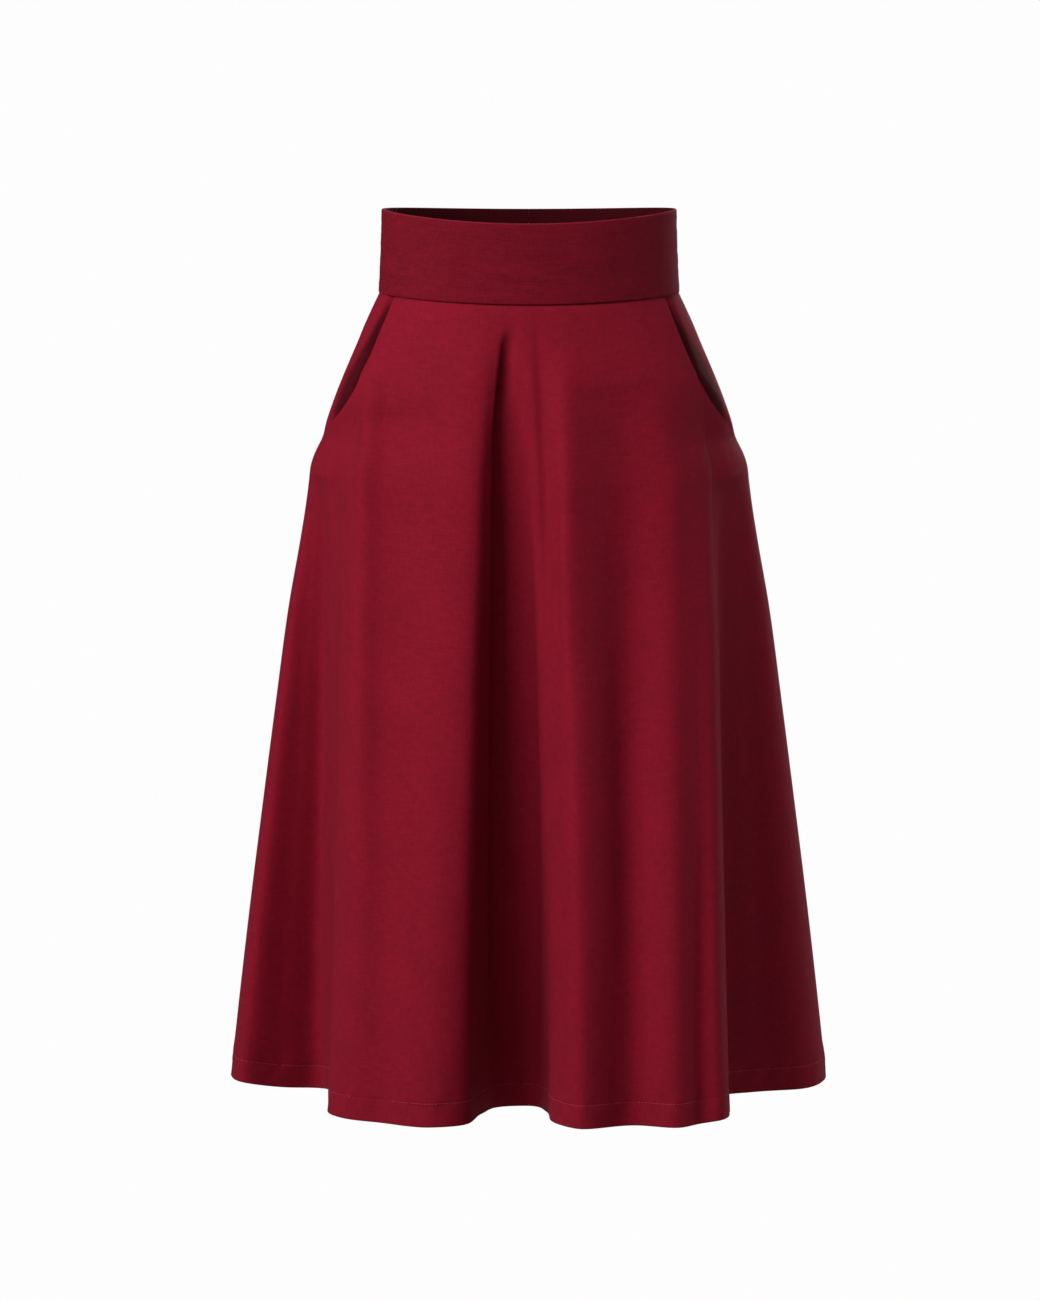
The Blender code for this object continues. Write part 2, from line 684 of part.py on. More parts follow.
def build_slider(hinge):
    """The slider's body lies inside the tapes, and its lug reaches out between them to carry the tab."""
    inside = layer([180.0], -BAND_HEIGHT + HINGE_BELOW_RIM, TAPE_DEPTH + TAPE_THICKNESS + SEAM_GAP)[0]
    depth = hinge[1] - float(inside[1]) + 0.0004
    arc = np.radians(np.linspace(-90, 90, 13))
    outline = [(LUG_RADIUS * math.cos(a), LUG_RADIUS * math.sin(a)) for a in arc]
    outline += [(-depth - 0.001, LUG_RADIUS), (-depth - 0.001, -LUG_RADIUS)]
    hole = [(LUG_HOLE * math.cos(a), LUG_HOLE * math.sin(a)) for a in np.linspace(0, 2 * math.pi, 17)[:-1]]
    lug_mesh = flat_outline("zip_slider", (outline, hole), LUG_HALF)
    work = bmesh.new()
    work.from_mesh(lug_mesh)
    # The outline's x becomes +Y and its y becomes +Z
    for vert in work.verts:
        x, y, z = vert.co
        vert.co = (z, x, y)
    bmesh.ops.recalc_face_normals(work, faces=work.faces)
    work.to_mesh(lug_mesh)
    work.free()
    slider = add_object("zip_slider", lug_mesh, METAL, 0.35, 0.6)
    slider.location = hinge

    body = bmesh.new()
    bmesh.ops.create_cube(body, size=1.0)
    bmesh.ops.scale(body, vec=(SLIDER_WIDTH, SLIDER_THICKNESS, SLIDER_HEIGHT), verts=body.verts)
    bmesh.ops.translate(body, vec=(0.0, -depth - SLIDER_THICKNESS / 2, -0.001), verts=body.verts)
    bmesh.ops.bevel(body, geom=body.edges, offset=0.0006, segments=1, affect="EDGES")
    body_mesh = bpy.data.meshes.new("slider_body")
    body.to_mesh(body_mesh)
    body.free()
    cutter = bpy.data.objects.new("slider_body", body_mesh)
    cutter.location = hinge
    cutter.hide_render = True
    cutter.display_type = "WIRE"
    CUTTERS.objects.link(cutter)
    join = slider.modifiers.new("body", "BOOLEAN")
    join.operation = "UNION"
    join.object = cutter
    return slider


def build_pull(hinge):
    """A drop-shaped tab. Its top bar runs through the slider's lug, and the lug stands in its window."""
    shoulder = PULL_WINDOW_DROP + 0.001
    right = [(PULL_NECK_HALF, PULL_BAR), (PULL_NECK_HALF, -shoulder)]
    for share in np.linspace(0.0, 1.0, 9)[1:]:
        width = PULL_NECK_HALF + (PULL_HALF_WIDTH - PULL_NECK_HALF) * math.sin(0.72 * math.pi * share)
        right.append((width * math.sqrt(max(1 - share**5, 0.0)), -shoulder - (PULL_LENGTH - shoulder) * share))
    left = [(-x, y) for x, y in reversed(right) if x > 1e-6]
    outline = right + left
    window = (
        (-PULL_WINDOW_HALF, -PULL_BAR),
        (PULL_WINDOW_HALF, -PULL_BAR),
        (PULL_WINDOW_HALF, -PULL_WINDOW_DROP),
        (-PULL_WINDOW_HALF, -PULL_WINDOW_DROP),
    )
    mesh = flat_outline("zip_pull", (outline, window), PULL_THICKNESS / 2)
    pull = add_object("zip_pull", mesh, METAL, 0.35, 0.6)
    # The outline's plane stands upright across the back
    work = bmesh.new()
    work.from_mesh(mesh)
    for vert in work.verts:
        x, y, z = vert.co
        vert.co = (x, -z, y)
    bmesh.ops.recalc_face_normals(work, faces=work.faces)
    work.to_mesh(mesh)
    work.free()
    pull.location = hinge
    return pull


for existing in list(bpy.data.objects):
    bpy.data.objects.remove(existing, do_unlink=True)
PARTS = bpy.data.collections.new("midi_skirt")
CUTTERS = bpy.data.collections.new("cutters")
bpy.context.scene.collection.children.link(PARTS)
bpy.context.scene.collection.children.link(CUTTERS)

build_front()
build_back("back_panel_left", 90.0, 180.0)
build_back("back_panel_right", 180.0, 270.0)
build_band("waistband_front", -90.0, 90.0, 26)
build_band("waistband_back_left", 90.0, 180.0, 13)
build_band("waistband_back_right", 180.0, 270.0, 13)
build_hip_piece("hip_piece_left", 1)
build_hip_piece("hip_piece_right", -1)
build_bag("pocket_bag_left", 1)
build_bag("pocket_bag_right", -1)
build_tape("zip_tape_left", 1)
build_tape("zip_tape_right", -1)
HINGE = hinge_point()
build_slider(HINGE)
build_pull(HINGE)
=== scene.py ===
"""The midi skirt, dressed: cloth panels in folds, folded waistband, hip pockets, turned hem and back zip.

Metres, +Z up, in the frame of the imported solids. The front faces -Y and the wearer's left is +X. Turns are
cloth degrees round the skirt: 0 at the front, 90 at the wearer's left side seam, 180 at the back and -90 at
the right side seam. A column is a line of cloth down the skirt, named by its turn at the hem. A drop is
measured down from the waist seam, and a depth is measured into the cloth from its outer face.
"""

import math

import bpy
import numpy as np
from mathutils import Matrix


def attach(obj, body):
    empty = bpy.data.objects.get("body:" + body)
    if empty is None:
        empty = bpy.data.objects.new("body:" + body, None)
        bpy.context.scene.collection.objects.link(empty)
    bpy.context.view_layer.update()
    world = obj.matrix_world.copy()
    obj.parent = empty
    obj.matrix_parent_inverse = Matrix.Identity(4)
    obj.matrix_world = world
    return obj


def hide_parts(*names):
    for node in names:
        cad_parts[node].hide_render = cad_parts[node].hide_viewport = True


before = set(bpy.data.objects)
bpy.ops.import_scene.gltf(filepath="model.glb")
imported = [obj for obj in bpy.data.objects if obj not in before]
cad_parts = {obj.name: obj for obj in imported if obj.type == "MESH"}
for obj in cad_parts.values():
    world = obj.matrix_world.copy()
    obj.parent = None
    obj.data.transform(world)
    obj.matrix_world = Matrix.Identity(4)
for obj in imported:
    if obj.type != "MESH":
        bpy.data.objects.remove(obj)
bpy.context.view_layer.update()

# Sizes of the cut
MM = 0.001
BAND_HEIGHT = 0.069
RIM_HALF_WIDTH = 0.1212
RIM_FRONT = 0.0872
RIM_BACK = 0.0832
BAND_EASE = 1.6
SKIRT_LENGTH = 0.662
RIM_Z = BAND_HEIGHT / 2
SEAM_Z = -BAND_HEIGHT / 2
HEM_Z = SEAM_Z - SKIRT_LENGTH
RIM_DIP = (0.008, 0.004)
SEAM_DIP = (0.005, 0.004)
LEAN_EASE = 1.5
CLOTH = 0.0012
BAG_CLOTH = 0.001
BAG_GAP = 0.0006
BAG_HANG = 0.0030
HANG_FROM = 0.10
HANG_GROWS = 0.08
BAG_INSET = 1.2
BAG_OUTER_LIMIT = 85.5
BAG_SAG_EASE = 0.8
HEM_TURN_UP = 0.020
HEM_STITCH_UP = 0.0188
SEAM_ALLOWANCE = 0.007
SEAM_PULL = 0.0009
SEAM_PULL_REACH = 0.0022
SEAM_GAP = 0.0003
BAND_PROUD = 0.0009
BAND_DEPTH = 0.0016
BAND_CLOTH = 0.0009
TAPE_DEPTH = 0.0019
TAPE_THICKNESS = 0.0008
ZIP_SLOT = 0.0013
ZIP_LENGTH = 0.165
TAPE_TOP = 0.787 * BAND_HEIGHT
COIL_TOP = 0.60 * BAND_HEIGHT
COIL_OFF = 0.0005
PANEL_SPACING = 0.0042
BAND_SPACING = 0.0026

# Half width of the skirt, and how far its plain form reaches to the front and to the back, by drop, all mm
PROFILE_COLUMNS = ("drop", "half_width", "front", "back")
PROFILE = (
    (0, 123.8, 89, 85),
    (12, 129.5, 92, 91),
    (25, 135.5, 95, 98),
    (40, 141.7, 99, 106),
    (56, 148.6, 103, 113),
    (73, 155.8, 107, 119),
    (90, 162.4, 110, 124),
    (107, 168.2, 112, 127),
    (122, 172.2, 114, 129),
    (127, 174.8, 114.5, 129.5),
    (134, 178.2, 115, 130),
    (143, 181.2, 116, 130.5),
    (157, 183.0, 117, 131),
    (175, 185.4, 118, 132),
    (207, 190.6, 121, 133),
    (257, 199.6, 126, 136),
    (340, 211.2, 136, 142),
    (420, 221.8, 146, 149),
    (505, 232.8, 156, 157),
    (590, 243.0, 164, 165),
    (662, 251.0, 170, 170),
)

# The lines that the cloth folds on: where each meets the hem, the drop at which it begins, how it grows, the
# turn at which it starts under the waistband, and how much lower the hem hangs there; mm and degrees
FOLD_COLUMNS = ("name", "hem_x", "hem_y", "start", "growth", "top_turn", "hem_low")
FRONT_FOLDS = (
    ("right_side_seam", -251, 4, 120, 0.9, -90, -2.0),
    ("right_side_lobe", -240, -32, 150, 0.8, -86, -3.0),
    ("right_side_fall", -206, -18, 150, 0.7, -82, 4.0),
    ("right_side_valley", -180, -8, 150, 0.7, -78, 6.5),
    ("right_valley_rise", -168, -38, 150, 0.8, -75, 2.0),
    ("right_lobe_edge", -158, -106, 120, 0.9, -71, 0.0),
    ("right_lobe_corner", -164, -150, 70, 0.9, -66, 0.0),
    ("right_ridge", -148, -173, 50, 0.75, -61, 0.0),
    ("right_trough", -126, -181, 60, 1.1, -54, 0.8),
    ("right_crest", -80, -208, 50, 1.15, -33, 0.0),
    ("right_shoulder", -54, -199, 35, 0.9, -21, 0.0),
    ("right_flank", -39, -154, 30, 0.8, -13, 0.0),
    ("centre_valley", -20, -110, 24, 0.7, -9, 2.2),
    ("centre_floor", 2, -106, 24, 0.8, -5, 2.6),
    ("centre_step", 14, -138, 24, 0.9, -1, 1.4),
    ("left_lobe_edge", 20, -187, 60, 1.2, 5, 0.4),
    ("left_crest", 40, -214, 40, 0.8, 15, 0.0),
    ("left_trough", 85, -195, 75, 1.0, 36, 0.8),
    ("left_second_crest", 123, -208, 50, 0.8, 54, 0.0),
    ("left_outer_trough", 141, -194, 60, 0.9, 59, -0.8),
    ("left_outer_crest", 153, -194, 70, 0.9, 64, -2.8),
    ("left_far_edge", 164, -150, 110, 0.8, 68, -0.6),
    ("left_side_valley", 156, -76, 150, 0.7, 75, 0.0),
    ("left_side_lobe", 190, -58, 150, 0.7, 80, 0.0),
    ("left_side_corner", 232, -42, 140, 0.9, 85, 0.0),
)
BACK_FOLDS = (
    ("left_side_seam", 250.5, 8, 120, 1.0, 90, 0.0),
    ("back_left_side_lobe", 224, 66, 140, 1.0, 98, 0.0),
    ("back_left_side_valley", 166, 84, 130, 1.0, 109, 0.0),
    ("back_left_edge", 164, 138, 110, 1.0, 119, 0.0),
    ("back_left_crest", 122, 198, 70, 1.0, 134, 0.0),
    ("back_left_shoulder", 84, 196, 60, 1.0, 146, 0.0),
    ("back_left_valley", 62, 146, 60, 0.9, 156, 0.0),
    ("back_centre_left", 36, 172, 50, 1.0, 166, 0.0),
    ("back_centre", 2, 206, 40, 1.0, 180, 0.0),
    ("back_centre_right", -34, 186, 50, 1.0, 193, 0.0),
    ("back_right_valley", -62, 142, 60, 0.9, 204, 0.0),
    ("back_right_shoulder", -86, 188, 60, 1.0, 215, 0.0),
    ("back_right_crest", -126, 200, 70, 1.0, 227, 0.0),
    ("back_right_edge", -166, 140, 110, 1.0, 242, 0.0),
    ("back_right_side_valley", -168, 88, 130, 1.0, 252, 0.0),
    ("back_right_side_lobe", -222, 64, 140, 1.0, 262, 0.0),
)

# The curved edge of the front at each pocket, by drop: its plan angle from the front and how far it stands
# off. Below it: how wide the easing is, and how deep and how fast the hip piece falls away behind the edge
POCKET_COLUMNS = ("drop", "plan_angle", "stand_off")
POCKET_EDGE = (
    (0, 64.0, 0.0),
    (10, 62.5, 1.2),
    (28, 60.5, 4.0),
    (45, 59.5, 6.5),
    (62, 59.5, 8.0),
    (78, 61.0, 8.0),
    (92, 65.0, 6.2),
    (104, 71.5, 3.6),
    (113, 79.5, 1.4),
    (120, 90.0, 0.0),
)
POCKET_DEPTH = 0.120
LIFT_REACH = 34.0
DIP_SHARE = 1.5
DIP_REACH = 18.0
DIP_LIMIT = 0.85
DIP_EASE = 1.5
# Painted shade in the pocket mouth: how far its start moves in with the gape and lower down, where it starts
# on the hip piece, and how wide it fades
SHADE_SEEN = 0.052
SHADE_DROP = 0.14
SHADE_FROM = 0.30
SHADE_WIDTH = 0.22

# Outline of the pocket bag below and behind the opening, by drop
BAG_COLUMNS = ("drop", "outer_turn", "inner_turn", "bag_hollow")
BAG_OUTLINE = (
    (0, 90.0, 34.0, 0.0),
    (30, 90.0, 32.0, 3.0),
    (60, 90.0, 31.0, 6.5),
    (90, 90.0, 31.0, 9.0),
    (119, 90.0, 31.6, 9.0),
    (124, 86.5, 32.0, 8.5),
    (150, 85.0, 33.5, 7.0),
    (185, 82.0, 37.0, 5.0),
    (215, 75.0, 43.0, 2.5),
    (235, 69.0, 51.0, 0.0),
)

# Fine creases laid one by one: turn and drop (mm) at both ends, half width and height (mm, below 0 for a
# trough)
CREASES = (
    (-47.5, 26, -43.5, 150, 2.6, 0.8),
    (55.0, 4, 44.5, 150, 2.6, 0.8),
    (-39.5, 50, -36.0, 760, 12.0, 3.0),
    (-30.5, 30, -27.0, 760, 12.0, -3.2),
    (-43.0, 24, -39.5, 200, 6.0, 1.6),
    (-37.5, 24, -34.0, 190, 6.0, -1.1),
    (-2.0, 14, -10.5, 130, 6.0, -5.0),
    (-5.0, 50, -6.5, 600, 12.0, -8.0),
    (3.0, 70, 2.0, 620, 12.0, -5.0),
    (13.0, 14, 12.0, 300, 6.5, -2.6),
    (20.0, 24, 19.5, 330, 6.0, 3.4),
    (26.5, 30, 29.5, 560, 9.0, -4.0),
    (41.5, 34, 40.5, 480, 7.0, 3.4),
    (44.0, 150, 43.5, 900, 5.0, 2.4),
    (150.0, 40, 147.0, 300, 7.0, 0.8),
    (206.0, 50, 210.0, 260, 6.0, -0.7),
    (124.0, 30, 121.0, 140, 4.0, 0.5),
    (238.0, 26, 243.0, 150, 4.0, 0.5),
)

# Small puckers along the hem's stitching: wave length and height (mm), and where each wave starts
PUCKERS = ((23.0, 0.30, 0.4), (14.5, 0.28, 1.9), (9.2, 0.17, 3.3), (37.0, 0.34, 5.1))
PUCKER_SLANT = 0.5

# How far above the stitching puckers begin and how far they reach, the stitching's furrow, and its stitches
PUCKER_FROM = -26
PUCKER_ABOVE = 9.0
PUCKER_BELOW = 14.0
FURROW_DEPTH = 0.22
FURROW_WIDTH = 1.1
CREASE_FADE = 0.8
# Painted highlight over the hem's rounded fold
HEM_HIGHLIGHT = 0.55
STITCH_SINK = 0.00004
STITCH_SIZES = {"Pitch": 0.0031, "Length": 0.0022, "Thickness": 0.00055}
COIL_SIZES = {"Pitch": 0.0010, "Length": 0.0024, "Thickness": 0.00055}


def toned(share, colour):
    return tuple(share * c for c in colour)


# Colours, linear, and the cloth's yarns
CLOTH_RED = (0.262, 0.0072, 0.0225)
CLOTH_DEEP = (0.150, 0.0040, 0.0120)
# How dark painted shade makes the cloth, as a share of its deep colour: on inner faces and in the pocket
# mouths
INSIDE_SHADE = 0.34
BAND_RED = toned(0.86, CLOTH_RED)
BAND_DEEP = toned(0.58, CLOTH_DEEP)
THREAD_RED = (0.36, 0.03, 0.06)
POCKET_RED = (0.15, 0.008, 0.018)
TAPE_RED = (0.12, 0.007, 0.014)
METAL_RED = (0.30, 0.02, 0.04)
WORN_METAL = (0.38, 0.24, 0.22)
TWILL_YARN = 0.00022
WALE_YARNS = 3.0
SLUB_RATES = ((900.0, 150.0, 1.0), (110.0, 800.0, 1.0))
SLUB_LIMITS = (0.66, 1.34)
MOTTLE_LIMITS = (0.45, 1.15)
CLOTH_BUMP = 0.00016
METAL_BUMP = 0.00005


def by_column(names, rows):
    """A table's columns by name."""
    return {name: np.array(values) for name, values in zip(names, zip(*rows))}


def clamp(share):
    return min(max(share, 0.0), 1.0)


def add_object(name, data):
    made = bpy.data.objects.new(name, data)
    bpy.context.scene.collection.objects.link(made)
    return made


def smooth(knots, values, at):
    """A curve through unevenly spaced knots that keeps to their shape. Each has a value or a vector."""
    knots = np.asarray(knots, float)
    values = np.asarray(values, float)
    at = np.asarray(at, float)
    flat = values.ndim == 1
    if flat:
        values = values[:, None]
    step = np.diff(knots)[:, None]
    slope = np.diff(values, axis=0) / step
    tangent = np.empty_like(values)
    tangent[0] = slope[0]
    tangent[-1] = slope[-1]
    tangent[1:-1] = (slope[:-1] * step[1:] + slope[1:] * step[:-1]) / (step[:-1] + step[1:])
    index = np.clip(np.searchsorted(knots, at) - 1, 0, len(knots) - 2)
    width = step[index]
    t = np.clip(((at - knots[index])[:, None]) / width, 0.0, 1.0)
    result = (
        (2 * t**3 - 3 * t**2 + 1) * values[index]
        + (t**3 - 2 * t**2 + t) * width * tangent[index]
        + (3 * t**2 - 2 * t**3) * values[index + 1]
        + (t**3 - t**2) * width * tangent[index + 1]
    )
    return result[:, 0] if flat else result


FORM = by_column(PROFILE_COLUMNS, PROFILE)
FOLDS = by_column(FOLD_COLUMNS, FRONT_FOLDS + BACK_FOLDS)
POCKET = by_column(POCKET_COLUMNS, POCKET_EDGE)
BAG = by_column(BAG_COLUMNS, BAG_OUTLINE)
FORM_DROP = FORM["drop"] * MM
FORM_SIZES = np.stack([FORM[name] * MM for name in ("half_width", "front", "back")], axis=1)


def form_sizes(drop):
    """Half width and reach to the front and back of the plain form. Above the waist seam it is the band's."""
    if drop >= 0:
        return smooth(FORM_DROP, FORM_SIZES, [drop])[0]
    rise = -drop / BAND_HEIGHT
    top = np.array([RIM_HALF_WIDTH, RIM_FRONT, RIM_BACK])
    seam = FORM_SIZES[0]
    return seam + (top - seam) * (1 - max(1 - rise, 0.0) ** BAND_EASE)


def plan_angles(turns, drop):
    """Plan angle on the plain form's ellipse at each turn, evenly spaced along the cloth of each half."""
    half_width, front, back = form_sizes(drop)
    turns = np.asarray(turns, float)
    result = np.empty_like(turns)
    for low, reach in ((-90.0, front), (90.0, back)):
        sample = np.radians(np.linspace(low, low + 180.0, 145))
        x = half_width * np.sin(sample)
        y = -reach * np.cos(sample)
        length = np.concatenate([[0.0], np.cumsum(np.hypot(np.diff(x), np.diff(y)))])
        share = (turns - low) / 180.0
        inside = (share >= 0) & (share <= 1)
        result[inside] = np.interp(share[inside] * length[-1], length, sample)
    return result


def form_points(turns, drop):
    """Plan points of the plain form at a drop, and their plan angles."""
    turns = (np.asarray(turns, float) + 90.0) % 360.0 - 90.0
    half_width, front, back = form_sizes(drop)
    angle = plan_angles(turns, drop)
    reach = np.where(np.cos(angle) > 0, front, back)
    return np.stack([half_width * np.sin(angle), -reach * np.cos(angle)], axis=1), angle


def fold_columns():
    """Each fold line's turn at the hem, by the lengths between them, and its offset from the form."""
    hem = np.stack([FOLDS["hem_x"], FOLDS["hem_y"]], axis=1) * MM
    chord = np.hypot(*np.diff(np.vstack([hem, hem[:1]]), axis=0).T)
    names = list(FOLDS["name"])
    marks = [0, len(FRONT_FOLDS), names.index("back_centre"), len(names)]
    turns = []
    for first, last, start, end in zip(marks[:-1], marks[1:], (-90.0, 90.0, 180.0), (90.0, 180.0, 270.0)):
        along = np.concatenate([[0.0], np.cumsum(chord[first:last])])
        turns += list(start + (end - start) * along[:-1] / along[-1])
    plain, _ = form_points(turns, SKIRT_LENGTH)
    return np.array(turns), hem - plain, chord.sum()


def wrapped(values, shift=0.0):
    """Repeats the fold lines before and after, so that a curve through them closes on itself."""
    return np.concatenate([values - shift, values, values + shift])


FOLD_TURNS, FOLD_OFFSETS, HEM_ROUND = fold_columns()
FOLD_START = FOLDS["start"] * MM
FOLD_LEAN = FOLDS["top_turn"] - FOLD_TURNS
FOLD_KNOTS = wrapped(FOLD_TURNS, 360.0)
FOLD_LOW = FOLDS["hem_low"] * MM


def share_down(drop):
    """Share of the way from the waist seam to the hem."""
    return clamp(drop / SKIRT_LENGTH)


def leaned(columns, drop):
    """Turns of the columns at a drop, on their way from the waistband to the hem."""
    return columns + smooth(FOLD_KNOTS, wrapped(FOLD_LEAN), columns) * (1 - share_down(drop)) ** LEAN_EASE


def skirt_ring(columns, drop):
    """Points of the cloth's outer face at one drop."""
    columns = (np.asarray(columns, float) + 90.0) % 360.0 - 90.0
    points, angle = form_points(leaned(columns, drop), drop)
    grown = np.clip((drop - FOLD_START) / (SKIRT_LENGTH - FOLD_START), 0.0, 1.0) ** FOLDS["growth"]
    points += smooth(FOLD_KNOTS, wrapped(FOLD_OFFSETS * grown[:, None]), columns)
    facing = np.cos(angle)
    seam = SEAM_Z - np.where(facing > 0, *SEAM_DIP) * facing**2
    if drop >= 0:
        down = share_down(drop)
        level = seam * (1 - down) + HEM_Z * down
        level -= smooth(FOLD_KNOTS, wrapped(FOLD_LOW), columns) * down**3
    else:
        rise = -drop / BAND_HEIGHT
        rim = RIM_Z - np.where(facing > 0, *RIM_DIP) * facing**2
        level = seam * (1 - rise) + rim * rise
    return np.column_stack([points, level])


def columns_at(turns, drop):
    """The columns that pass these cloth turns at this drop."""
    columns = np.linspace(-90.0, 270.0, 721)
    return np.interp(turns, leaned(columns, drop), columns)


def degree_length(drop):
    """Cloth in one degree of turn: the plain form's at the waist, and the whole folded hem's at the hem."""
    half_width, front, back = form_sizes(max(drop, 0.0))
    plain = math.pi * (half_width + 0.5 * (front + back)) / 2 / 180.0
    return plain + (HEM_ROUND / 360.0 - plain) * share_down(drop) ** 2


def at_drop(table, drop, name):
    return float(smooth(table["drop"] * MM, table[name], [drop])[0])


def pocket_gape(drop):
    """How far the front's edge stands off the hip, in mm."""
    return at_drop(POCKET, drop, "stand_off")


def pocket_edge_column(drop, side):
    """The column of the front's edge beside the pocket opening, or of the side seam below it."""
    if drop >= POCKET_DEPTH:
        return side * 90.0
    angle = at_drop(POCKET, max(drop, 0.0), "plan_angle")
    turns = np.linspace(-90.0, 90.0, 361)
    turn = float(np.interp(math.radians(angle), plan_angles(turns, drop), turns))
    return float(columns_at(side * turn, drop))


def stand_off(columns, drop):
    """How far the front is eased out beside the pocket openings, which gape a little."""
    columns = np.asarray(columns, float)
    result = np.zeros(len(columns))
    if not 0 < drop < POCKET_DEPTH:
        return result
    most = pocket_gape(drop)
    for side in (-1, 1):
        edge = pocket_edge_column(drop, side)
        away = np.clip(side * (edge - columns) / LIFT_REACH, 0.0, 1.0)
        result += np.where(side * columns > 0, most * MM * (1 - away) ** 2 * (1 + 2 * away), 0.0)
    return result


def crease_relief(columns, drop):
    """The fine creases, as a height over the plain fold."""
    result = np.zeros(len(columns))
    scale = degree_length(drop)
    for first_turn, first_drop, last_turn, last_drop, half_width, height in CREASES:
        along = (drop / MM - first_drop) / (last_drop - first_drop)
        if not 0 < along < 1:
            continue
        middle = first_turn + (last_turn - first_turn) * along
        away = (columns - middle) * scale / (half_width * MM)
        result += height * MM * math.sin(math.pi * along) ** CREASE_FADE * np.exp(-(away**2))
    return result


def hem_relief(columns, drop):
    """The furrow that the hem's stitching pulls in, and the small slanting puckers round it."""
    below = (drop - (SKIRT_LENGTH - HEM_STITCH_UP)) / MM
    if below < PUCKER_FROM:
        return np.zeros(len(columns))
    furrow = -FURROW_DEPTH * math.exp(-((below / FURROW_WIDTH) ** 2))
    place = columns * HEM_ROUND / 360.0 / MM
    waves = np.zeros(len(columns))
    for length, height, start in PUCKERS:
        phase = 2 * math.pi * (place + PUCKER_SLANT * below) / length + start
        waves += height * np.sin(phase + 1.3 * np.sin(phase * 0.23 + start))
    reach = PUCKER_ABOVE if below < 0 else PUCKER_BELOW
    waves *= math.exp(-((below / reach) ** 2))
    return (furrow + waves) * MM


def cloth_normals(columns, drop):
    """Outward directions of the cloth, with the creases left out."""
    columns = np.asarray(columns, float)
    across = skirt_ring(columns + 0.05, drop) - skirt_ring(columns - 0.05, drop)
    step = 0.0005
    normal = np.cross(skirt_ring(columns, drop + step) - skirt_ring(columns, drop - step), across)
    return normal / np.linalg.norm(normal, axis=1)[:, None]


# Rounded edge: how far each point is set back, as a share of the half thickness, and the thickness there
ROUND_TURNS = np.radians([8.0, 30.0, 52.0, 72.0, 90.0])
ROUND_BACK = 1 - np.cos(ROUND_TURNS)
ROUND_THIN = np.sin(ROUND_TURNS)
# Painted highlight across a rounded edge, strongest at the edge itself and fading to where it meets the flat
# face
EDGE_HIGHLIGHTS = np.linspace(1.0, 0.2, 5)


def rounded(count):
    """Shares of the thickness across a wall, thinner at both ends, with a given count of full ones."""
    return np.concatenate([ROUND_THIN, np.ones(count), ROUND_THIN[::-1]])


def cloth_loop(columns, drop, middle, half, edge_radius, relief=None):
    """A closed loop round a panel at one drop: the outer face, then the inner one, with rounded side edges.

    middle is the depth of the cloth's middle, half is half its thickness, and both may change along the loop.
    """
    columns = np.asarray(columns, float)
    ends = skirt_ring([columns[0], columns[0] + 0.1, columns[-1] - 0.1, columns[-1]], drop)
    scales = [np.linalg.norm(ends[1] - ends[0]) / 0.1, np.linalg.norm(ends[3] - ends[2]) / 0.1]
    inner = columns[1:-1]
    first = columns[0] + ROUND_BACK * edge_radius / scales[0]
    last = columns[-1] - ROUND_BACK[::-1] * edge_radius / scales[1]
    places = np.concatenate([first, inner, last])
    swell = rounded(len(inner))
    middle = np.interp(places, columns, np.broadcast_to(middle, columns.shape))
    half = np.interp(places, columns, np.broadcast_to(half, columns.shape)) * swell
    out = np.zeros(len(places)) if relief is None else relief(places, drop)
    base = skirt_ring(places, drop)
    normals = cloth_normals(places, drop)
    outer = base + normals * (out - middle + half)[:, None]
    under = base + normals * (out - middle - half)[:, None]
    edge = np.concatenate([EDGE_HIGHLIGHTS, np.zeros(len(inner)), EDGE_HIGHLIGHTS[::-1]])
    both = np.concatenate([places, places[::-1]])
    return np.vstack([outer, under[::-1]]), both, np.concatenate([edge, edge[::-1]])


def cloth_uv(turns, drop, centre):
    """Straight grain: metres across from the piece's middle line, and metres down."""
    return np.column_stack([(turns - centre) * degree_length(drop), np.full(len(turns), -drop)])


def shaded_inner_face(count):
    """Painted shade: 1 for the inner row of a loop and 0 for its outer row."""
    return np.repeat([0.0, 1.0], count // 2)


def shell(name, rows, finish):
    """A closed cloth wall from rows in order. Each is a loop of points, then their grain, edge and tone.

    A loop is an outer line, then an inner one. The edge says how much painted highlight a point gets, and the
    tone how much painted shade darkens it.
    """
    loops, grains, edges, painted_shades = zip(*rows)
    size = len(loops[0])
    count = len(loops)
    start = np.arange(count - 1)[:, None] * size
    i = np.arange(size)[None, :]
    j = (i + 1) % size
    walls = np.stack([start + i, start + size + i, start + size + j, start + j], axis=2).reshape(-1, 4)
    k = np.arange(size // 2 - 1)
    top = np.stack([k, k + 1, size - 2 - k, size - 1 - k], axis=1)
    faces = np.vstack([walls, top, (count - 1) * size + top[:, ::-1]])
    mesh = bpy.data.meshes.new(name)
    mesh.from_pydata(np.vstack(loops), [], faces)
    grain = mesh.uv_layers.new(name="grain")
    grain.data.foreach_set("uv", np.vstack(grains)[faces.ravel()].astype(np.float32).ravel())
    for label, values in (("edge", edges), ("inside", painted_shades)):
        made = mesh.attributes.new(label, "FLOAT", "POINT")
        made.data.foreach_set("value", np.concatenate(values).astype(np.float32))
    mesh.validate()
    mesh.shade_smooth()
    mesh.materials.append(finish)
    return add_object(name, mesh)


def even_steps(first, last, spacing, drop):
    """Columns from one turn to another, about a given length of cloth apart at a drop."""
    count = max(2, int(round(abs(last - first) * degree_length(drop) / spacing)))
    return np.linspace(first, last, count + 1)


# Node trees
def feed(tree, target, source):
    """Links a socket to an input, or sets the input's own value."""
    if isinstance(source, bpy.types.NodeSocket):
        tree.links.new(source, target)
    else:
        target.default_value = source


